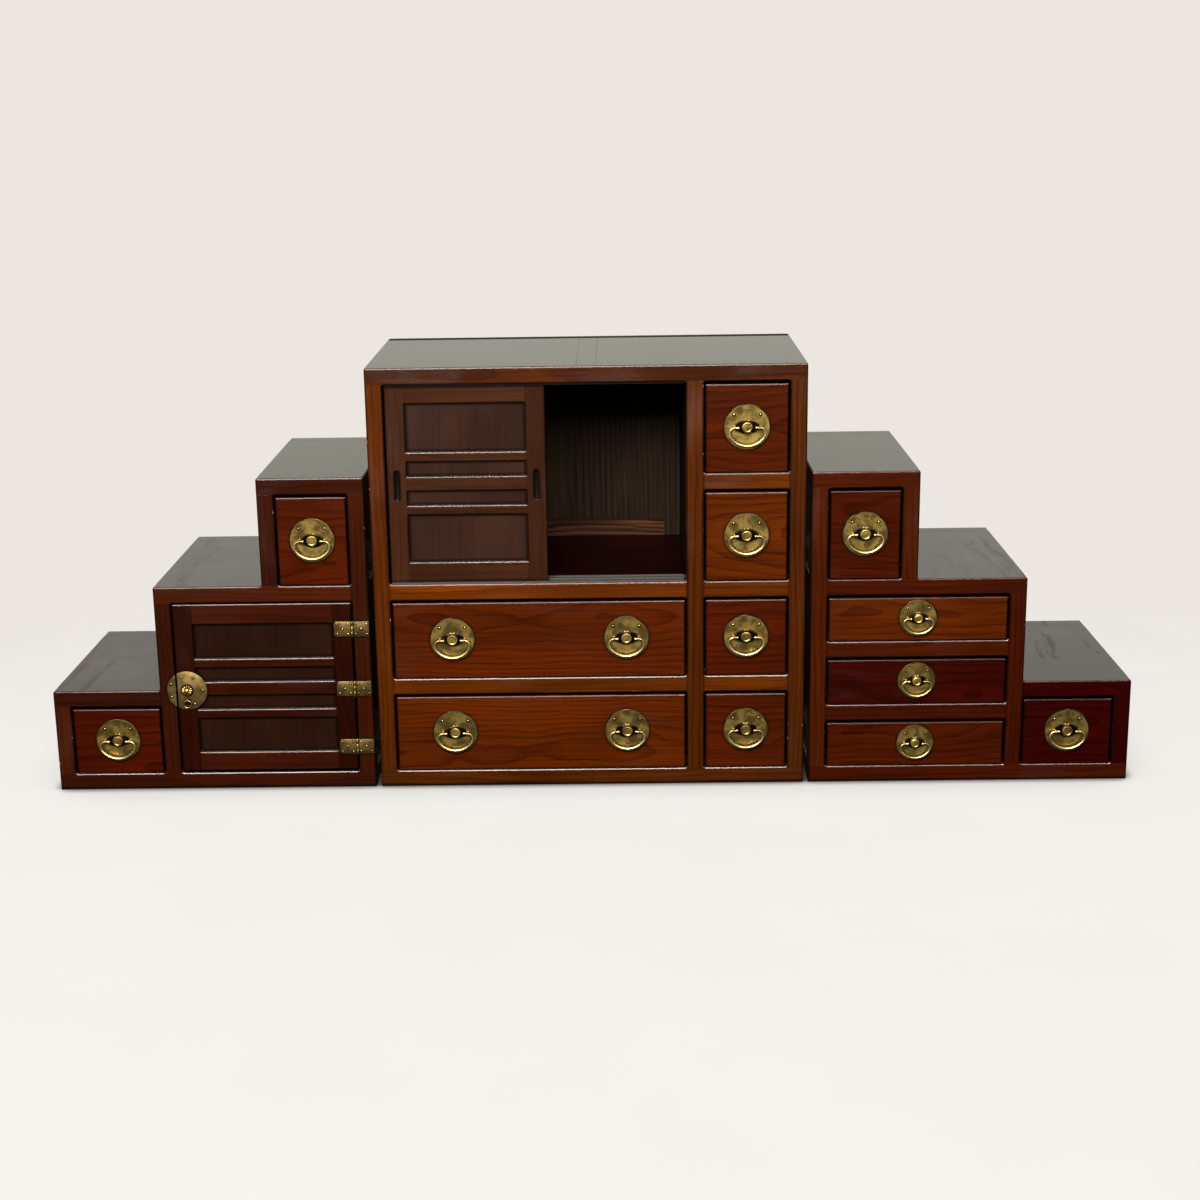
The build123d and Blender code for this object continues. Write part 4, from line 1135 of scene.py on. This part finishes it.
def bail_path(size):
    """The line of a bail in (x, z) from its axis: inward ends, round cheeks, a flat bottom arc."""
    sizes = SCENE.chest_handle
    half, drop, end = sizes.half_width * size, sizes.drop * size, sizes.bail_end * size
    corner, low = sizes.corner_radius * size, sizes.bottom_radius * size
    cheek = (low**2 - half**2 - (drop - corner - low) ** 2) / (2 * (low - half))
    slope = math.degrees(math.atan2(low - drop + corner, half - cheek))
    left = [(-end, 0.0), (-(end + half - corner) / 2, 0.0)]
    left += arc(corner - half, -corner, corner, 90, 180, 10)
    left += arc(cheek - half, -corner, cheek, 180, 180 + slope, 12)[1:]
    bottom = arc(0.0, low - drop, low, 180 + slope, 360 - slope, 28)[1:]
    right = [(-x, z) for x, z in reversed(left)][1:]
    return left + bottom + right


def add_bail(shape, size):
    """A bail that grows thicker towards its bottom, with a knob at each end."""
    sizes = SCENE.chest_handle
    depth = GAP + sizes.sheet + sizes.standoff * size
    line = bail_path(size)
    radii = []
    for _, z in line:
        share = min(1.0, max(0.0, -z / (sizes.drop * size)))
        share = share * share * (3 - 2 * share)
        radii.append((sizes.thin + (sizes.thick - sizes.thin) * share) * size)
    shape.wire([(x, depth, z) for x, z in line], radii)
    for x in (line[0][0], line[-1][0]):
        shape.ball(x, depth, 0.0, sizes.knob * size)


class HandleOperator(bpy.types.Operator):
    """Make the round plates with their bosses, rivets and eyes"""

    bl_idname = "chest.handles"
    bl_label = "Handle plates"

    def execute(self, context):
        for drawer, (places, z, small) in DRAWER_HANDLES.items():
            size = handle_size(small)
            shape = handle_plate(places[0], z, size)
            for x in places[1:]:
                shape.take(handle_plate(x, z, size))
            shape.finish(f"plates_{drawer}", f"drawer_{drawer}", [f"handle_plate_{drawer}"],
                         "plate_brass")
        return {"FINISHED"}


class BailOperator(bpy.types.Operator):
    """Make the swinging bails"""

    bl_idname = "chest.bails"
    bl_label = "Bails"

    def execute(self, context):
        for drawer, (places, z, small) in DRAWER_HANDLES.items():
            for x, suffix in zip(places, ("",) if len(places) == 1 else ("_left", "_right")):
                shape = Shape(x, DRAWER_FACE, z)
                add_bail(shape, handle_size(small))
                name = f"bail_{drawer}{suffix}"
                shape.finish(f"swing_{drawer}{suffix}", name, [name], "bail_brass")
        return {"FINISHED"}


# ------------------------------------------------------------------ fittings of the doors

# Places of the hinged door's fittings, in metres
BARREL_X, BARREL_Y = -0.4975, -0.2276
HINGE_MIDDLES = (0.352, 0.221, 0.092)
LOCK_X, LOCK_Z = -0.8525, 0.2205
DOOR_EDGE, POST_EDGE = -0.8729, -0.8761
STAPLE_Z = 0.1995
RING_OUT = 6.1 * MM
RING_RADIUS = 8 * MM
SHEET = 1.5 * MM

# Places of the finger pulls: the face of each sliding door, and the pulls' middles
DOOR_FACES = {"front": -0.219, "rear": -0.197}
PULL_PLACES = (-0.392, -0.105)
PULL_Z = 0.6552


def knuckle(shape, low, high):
    """A length of hinge barrel about the pin, in the shape's own coordinates."""
    sizes = SCENE.chest_fittings
    radius, bore = sizes.barrel_radius, sizes.pin_radius * 1.15
    middle, depth = BARREL_X - shape.origin.x, FACE - BARREL_Y
    rows = ((low, radius * 0.86), (low + 0.5 * MM, radius), (high - 0.5 * MM, radius),
            (high, radius * 0.86), (high, bore), (low, bore))
    shape.sheath([[(middle + reach * math.cos(angle), depth + reach * math.sin(angle), height)
                   for angle in turn(20)] for height, reach in rows], closed=True)


def hinge_leaf(z, direction):
    """A hinge leaf with five rivets and its knuckles: -1 on the door, 1 on the post."""
    sizes = SCENE.chest_fittings
    on_door = direction < 0
    shape = Shape(BARREL_X, FACE - GAP, z)
    near = direction * (sizes.barrel_radius + 0.2 * MM)
    far = direction * (sizes.leaf_width if on_door else sizes.post_leaf_width)
    half = sizes.leaf_height / 2
    clip = sizes.leaf_clip if on_door else 0.8 * MM
    shoulder = far - direction * clip
    shape.plate([(near, -half), (shoulder, -half), (far, clip - half), (far, half - clip),
                 (shoulder, half), (near, half)], 0.0, SHEET, 0.7 * MM, rim=DARK)
    shape.kind = PLAIN
    middle = (near + far) / 2
    rivet(shape, middle, 0.0, SHEET, 2.2 * MM, dirt_and_shade=True)
    for across, up in corners_of(11.5 * MM, 10.6 * MM):
        rivet(shape, middle + across, up, SHEET, 1.9 * MM, dirt_and_shade=True)
    sixth = sizes.leaf_height / 6
    if on_door:
        spans = ((-sixth, sixth),)
    else:
        spans = ((-half, -sixth - 0.3 * MM), (sixth + 0.3 * MM, half))
    left, right = sorted((direction * 1.2 * MM, near + direction * 0.1 * MM))
    for low, high in spans:
        knuckle(shape, low, high)
        shape.plate([(left, low), (right, low), (right, high), (left, high)], 0.05 * MM, SHEET,
                    0.2 * MM)
    return shape


def hinge_pin(z):
    """A hinge pin with a small knob below the barrel."""
    sizes = SCENE.chest_fittings
    shape = Shape(BARREL_X, FACE, z, kind=PLAIN)
    depth, half = FACE - BARREL_Y, sizes.leaf_height / 2
    shape.wire([(0, depth, -half - 1.4 * MM), (0, depth, 0), (0, depth, half + 0.5 * MM)],
               [sizes.pin_radius] * 3, 14)
    shape.ball(0, depth, -half - 1.0 * MM, sizes.pin_radius * 1.3)
    return shape


def lock_half(on_door):
    """The door's part of the round lock plate, or the narrow keeper on the post."""
    radius = SCENE.chest_fittings.lock_radius
    shape = Shape(LOCK_X, FACE - GAP, LOCK_Z)
    cut = (DOOR_EDGE if on_door else POST_EDGE) - LOCK_X
    angle = math.degrees(math.acos(cut / radius))
    if on_door:
        outline = arc(0, 0, radius, -angle, angle, 56)
        places = ((-12, 29), (15, 27), (33, 0), (15, -30))
    else:
        outline = arc(0, 0, radius, angle, 360 - angle, 28)
        places = ((-33, 14), (-33, -14))
    shape.plate(outline, 0.0, SHEET, 0.9 * MM, rim=DARK)
    for x, z in places:
        rivet(shape, x * MM, z * MM, SHEET, 2.3 * MM, dirt_and_shade=True)
    return shape


def rosette():
    """A flower of round beads about a knob, on a dished disc."""
    radius = SCENE.chest_fittings.rosette_radius
    shape = Shape(LOCK_X, FACE - GAP, LOCK_Z, kind=DARK)
    shape.turned([(0.0, SHEET + 1.2 * MM), (radius * 0.7, SHEET + 1.1 * MM),
                  (radius * 0.93, SHEET + 0.5 * MM), (radius * 1.08, SHEET + 0.1 * MM),
                  (radius * 1.08, SHEET - 0.05 * MM)], 36)
    shape.kind = PLAIN
    for angle in turn(SCENE.chest_fittings.beads):
        outward = Vector((math.cos(angle), 0.0, math.sin(angle)))
        path = [outward * reach + Vector((0, out, 0)) for reach, out in
                ((radius * 0.36, SHEET + 3.3 * MM), (radius * 0.60, SHEET + 3.1 * MM),
                 (radius * 0.80, SHEET + 2.2 * MM), (radius * 0.90, SHEET + 1.5 * MM))]
        shape.wire(path, [radius * 0.07, radius * 0.125, radius * 0.13, radius * 0.05], 10)
    shape.turned([(0.0, SHEET + 7.2 * MM), (radius * 0.16, SHEET + 6.9 * MM),
                  (radius * 0.30, SHEET + 5.9 * MM), (radius * 0.37, SHEET + 4.6 * MM),
                  (radius * 0.36, SHEET + 2.6 * MM), (radius * 0.44, SHEET + 1.0 * MM)], 28)
    return shape


def staple():
    """The small eye that carries the drop ring, on a dark disc of painted shadow behind the ring.
    """
    shape = Shape(LOCK_X, FACE - GAP, STAPLE_Z, kind=DARK)
    # Dark disc: painted shadow behind the drop ring
    shape.turned([(0.0, SHEET + 0.5 * MM), (6.6 * MM, SHEET + 0.4 * MM),
                  (7.6 * MM, SHEET + 0.1 * MM), (7.6 * MM, SHEET - 0.05 * MM)], 24, 0.0, -4 * MM)
    shape.kind = PLAIN
    shape.ring((0.0, RING_OUT - GAP, 0.0), 3.6 * MM, 20, 1.15 * MM, FORWARD)
    return shape


class HingeOperator(bpy.types.Operator):
    """Make the hinge leaves, knuckles and pins of the hinged door, and its lock plate"""

    bl_idname = "chest.hinges"
    bl_label = "Hinges and lock plate"

    def execute(self, context):
        on_door, on_post = lock_half(True), lock_half(False)
        for z in HINGE_MIDDLES:
            on_door.take(hinge_leaf(z, -1))
            on_post.take(hinge_leaf(z, 1))
            on_post.take(hinge_pin(z))
        on_door.take(rosette())
        on_door.take(staple())
        finishes = ("dull_brass", "dark_brass", "plain_brass")
        on_door.finish("door_fittings", "hinged_door", ["hinged_door_brass"], *finishes)
        on_post.finish("post_fittings", "left_cabinet", ["frame_hinge_brass"], *finishes)
        return {"FINISHED"}


class RingOperator(bpy.types.Operator):
    """Make the small drop ring under the lock's flower"""

    bl_idname = "chest.ring"
    bl_label = "Drop ring"

    def execute(self, context):
        shape = Shape(LOCK_X, FACE, STAPLE_Z - RING_RADIUS)
        shape.ring((0.0, RING_OUT, 0.0), RING_RADIUS, 40, 1.35 * MM, SIDEWAYS, sides=12)
        shape.finish("drop_ring", "lock_ring", ["lock_ring"], "plain_brass")
        return {"FINISHED"}


def stadium(width, height, steps=12):
    """An upright oblong with round ends, as (x, z)."""
    rise = (height - width) / 2
    return arc(0, rise, width / 2, 0, 180, steps) + arc(0, -rise, width / 2, 180, 360, steps)


def finger_pull(x, face):
    """A sunk oblong cup with a raised lip. All of it but the lower part of the lip is dark brass,
    painted shade.
    """
    sizes = SCENE.chest_fittings
    width, height, depth = sizes.pull_width, sizes.pull_height, sizes.pull_depth
    lip = 2.5 * MM
    shape = Shape(x, face, PULL_Z)
    rows = []
    for inward, out in ((0.0, 0.1 * MM), (0.2 * MM, 0.55 * MM), (0.9 * MM, 0.7 * MM),
                        (1.8 * MM, 0.5 * MM), (lip, -0.3 * MM), (lip + 0.5 * MM, -1.2 * MM),
                        (lip + 0.7 * MM, 0.8 * MM - depth), (lip + 1.8 * MM, 0.2 * MM - depth)):
        outline = stadium(width - 2 * inward, height - 2 * inward)
        rows.append([(px, out, pz) for px, pz in outline])
    shape.sheath(rows, caps=(len(rows) - 1,))
    count = len(rows[0])
    lower = range(count * 5 // 8, count * 7 // 8)
    # The cup and the upper lip get the dark brass of painted shade; the lower lip stays plain brass
    bright, dark = 0, 1
    shape.kinds = [bright if number // count == 1 and number % count in lower else dark
                   for number in range(len(shape.faces))]
    return shape


class PullOperator(bpy.types.Operator):
    """Make the sunk finger pulls of the sliding doors"""

    bl_idname = "chest.pulls"
    bl_label = "Finger pulls"

    def execute(self, context):
        for door, face in DOOR_FACES.items():
            shape, other = (finger_pull(x, face) for x in PULL_PLACES)
            shape.take(other)
            shape.finish(f"pulls_{door}", f"sliding_door_{door}", [f"finger_pulls_{door}"],
                         "plain_brass", "dark_brass")
        return {"FINISHED"}


# ------------------------------------------------------------------ stage


def add_light(name, place, width, height, radiance, tone=(1.0, 1.0, 1.0)):
    """A rectangular light of a given radiance, aimed at the chest and unseen by the camera."""
    light = bpy.data.lights.new(name, "AREA")
    light.shape = "RECTANGLE"
    light.size, light.size_y = width, height
    light.energy = radiance * math.pi * width * height
    light.color = tone
    item = bpy.data.objects.new(name, light)
    item.location = place
    aim = Vector((0, -0.1, 0.4))
    item.rotation_euler = (aim - Vector(place)).to_track_quat("-Z", "Y").to_euler()
    item.visible_camera = False
    SCENE.collection.objects.link(item)
    return item


# The room that the lacquer mirrors: how high a direction looks, from 0 to 1, and its colour
ROOM = ((0.30, (0.0, 0.0, 0.0)), (0.42, (0.03, 0.027, 0.02)), (0.47, (0.20, 0.185, 0.16)),
        (0.54, (0.465, 0.468, 0.40)), (0.75, (0.49, 0.49, 0.44)))


class StageOperator(bpy.types.Operator):
    """Make the floor, backdrop, lights and camera"""

    bl_idname = "chest.stage"
    bl_label = "Stage"

    def execute(self, context):
        studio = context.scene.chest_studio
        self.make_world(studio)
        self.make_floor(studio)
        self.make_lights(studio)
        self.make_camera(studio)
        SCENE.view_settings.view_transform = "Standard"
        return {"FINISHED"}

    def make_lights(self, studio):
        """A large front light, a strip that shows only in the gloss and three diffuse fills."""
        add_light("front_light", (-0.7, -4.2, 2.9), 3.4, 1.5, studio.front_light,
                  tone=(1.0, 0.97, 0.95))
        strip = add_light("strip_light", (0.2, -2.2, 3.6), 5.0, 0.5, studio.strip_light,
                          tone=(1.0, 0.86, 0.80))
        strip.visible_diffuse = False
        for name, place, width in (("back_light", (0.0, 3.0, 3.4), 6.0),
                                   ("left_light", (-4.2, 0.0, 3.0), 3.0),
                                   ("right_light", (4.2, 0.0, 3.0), 3.0)):
            fill = add_light(name, place, width, 2.0, studio.fill_light)
            fill.visible_glossy = False

    def make_world(self, studio):
        """Pale to the camera; to the lacquer, a dark room below eye level and a grey one above."""
        world = bpy.data.worlds.new("studio")
        world.use_nodes = True
        tree = world.node_tree
        tree.nodes.clear()
        height = result(tree, "ShaderNodeTexCoord", output="Generated").split()[2]
        ramp = add_node(tree, "ShaderNodeValToRGB", {0: height * 0.5 + 0.5})
        elements = ramp.color_ramp.elements
        for number, (position, value) in enumerate(ROOM):
            element = elements[number] if number < 2 else elements.new(position)
            element.position, element.color = position, rgba(value)
        seen = result(tree, "ShaderNodeLightPath", output="Is Camera Ray")
        shown = blend(seen, Value(ramp.outputs[0]), rgba(studio.backdrop))
        light = add_node(tree, "ShaderNodeBackground", {"Color": shown})
        tree.links.new(light.outputs[0], tree.nodes.new("ShaderNodeOutputWorld").inputs[0])
        SCENE.world = world

    def make_floor(self, studio):
        """A wide round floor that fades into the backdrop, with a painted contact shadow."""
        shaped = bmesh.new()
        bmesh.ops.create_circle(shaped, cap_ends=True, radius=14, segments=96)
        mesh = bpy.data.meshes.new("floor")
        shaped.to_mesh(mesh)
        shaped.free()
        mesh.materials.append(self.floor_material(studio))
        item = bpy.data.objects.new("floor", mesh)
        SCENE.collection.objects.link(item)
        item.visible_diffuse = False
        item.visible_glossy = False
        item.visible_transmission = False

    def floor_material(self, studio):
        """Paint that glows of itself, so that the floor stays even, and takes a little light. The
        glow is brighter near the chest, a painted pool of light, and dimmed in a painted contact
        shadow.
        """
        material = bpy.data.materials.new("pale_floor")
        material.use_nodes = True
        tree = material.node_tree
        tree.nodes.clear()
        point = object_point(tree)
        away = point.vector("ADD", (0.0, 1.2, 0.0)).vector("MULTIPLY", (0.55, 1.0, 0.0)).length()
        faded = remap(away, 0.9, 2.7)
        uneven = remap(noise(point, 3.0, detail=3.0), 0.3, 0.7, 0.985, 1.0)
        # Painted contact shadow: ambient occlusion dims the glow near and under the chest
        shade = (remap(open_air(tree, 0.22), 0.0, 0.85, 0.5, 1.0)
                 * remap(open_air(tree, 0.035), 0.35, 0.95, 0.04, 1.0))
        # Brighter paint near the chest: a painted pool of light
        near = tuple(value * 0.925 for value in studio.floor)
        paint = blend(faded, rgba(near), rgba(studio.backdrop))
        glow = result(tree, "ShaderNodeEmission", {"Color": paint, "Strength": uneven * shade})
        lit, unlit = (result(tree, "ShaderNodeBsdfDiffuse", {"Color": value})
                      for value in ((0.027, 0.026, 0.026, 1.0), (0.0, 0.0, 0.0, 1.0)))
        fading = result(tree, "ShaderNodeMixShader", {0: faded, 1: lit, 2: unlit})
        both = add_node(tree, "ShaderNodeAddShader", {0: glow, 1: fading})
        tree.links.new(both.outputs[0], tree.nodes.new("ShaderNodeOutputMaterial").inputs[0])
        return material

    def make_camera(self, studio):
        """The camera, from its place, pitch, roll and yaw."""
        data = bpy.data.cameras.new("camera")
        data.sensor_width = 36
        data.lens = studio.lens
        data.shift_y = studio.rise
        data.clip_end = 100
        pitch, roll, yaw = studio.pitch, studio.roll, studio.yaw
        ahead = Vector((math.sin(yaw) * math.cos(pitch), math.cos(yaw) * math.cos(pitch),
                        -math.sin(pitch)))
        level = Vector((math.cos(yaw), -math.sin(yaw), 0.0))
        above = level.cross(ahead)
        right = level * math.cos(roll) + above * math.sin(roll)
        up = above * math.cos(roll) - level * math.sin(roll)
        item = bpy.data.objects.new("camera", data)
        item.matrix_world = Matrix.Translation(
            (studio.camera_x, studio.camera_y, studio.camera_z)
        ) @ Matrix((right, up, -ahead)).transposed().to_4x4()
        SCENE.collection.objects.link(item)
        SCENE.camera = item


# ------------------------------------------------------------------ add-on


OPERATORS = (FinishOperator, StageOperator, CarcassOperator, DrawerOperator, DoorOperator,
             HandleOperator, BailOperator, HingeOperator, RingOperator, PullOperator)


class ChestPanel(bpy.types.Panel):
    """The pieces of the step chest"""

    bl_idname = "VIEW3D_PT_step_chest"
    bl_label = "Step chest"
    bl_space_type = "VIEW_3D"
    bl_region_type = "UI"
    bl_category = "Step chest"

    def draw(self, context):
        for operator in OPERATORS:
            self.layout.operator(operator.bl_idname)
        for name, group in SETTINGS.items():
            box = self.layout.box()
            for setting in group.__annotations__:
                box.prop(getattr(context.scene, name), setting)


def register():
    """Registers the settings, operators and panel."""
    for group in (*SETTINGS.values(), *OPERATORS, ChestPanel):
        bpy.utils.register_class(group)
    for name, group in SETTINGS.items():
        setattr(bpy.types.Scene, name, PointerProperty(type=group))


def unregister():
    """Takes them out again."""
    for name in SETTINGS:
        delattr(bpy.types.Scene, name)
    for group in reversed((*SETTINGS.values(), *OPERATORS, ChestPanel)):
        bpy.utils.unregister_class(group)


def main():
    """Builds everything in order."""
    register()
    for operator in OPERATORS:
        module, name = operator.bl_idname.split(".")
        getattr(getattr(bpy.ops, module), name)()


if __name__ == "__main__":
    main()
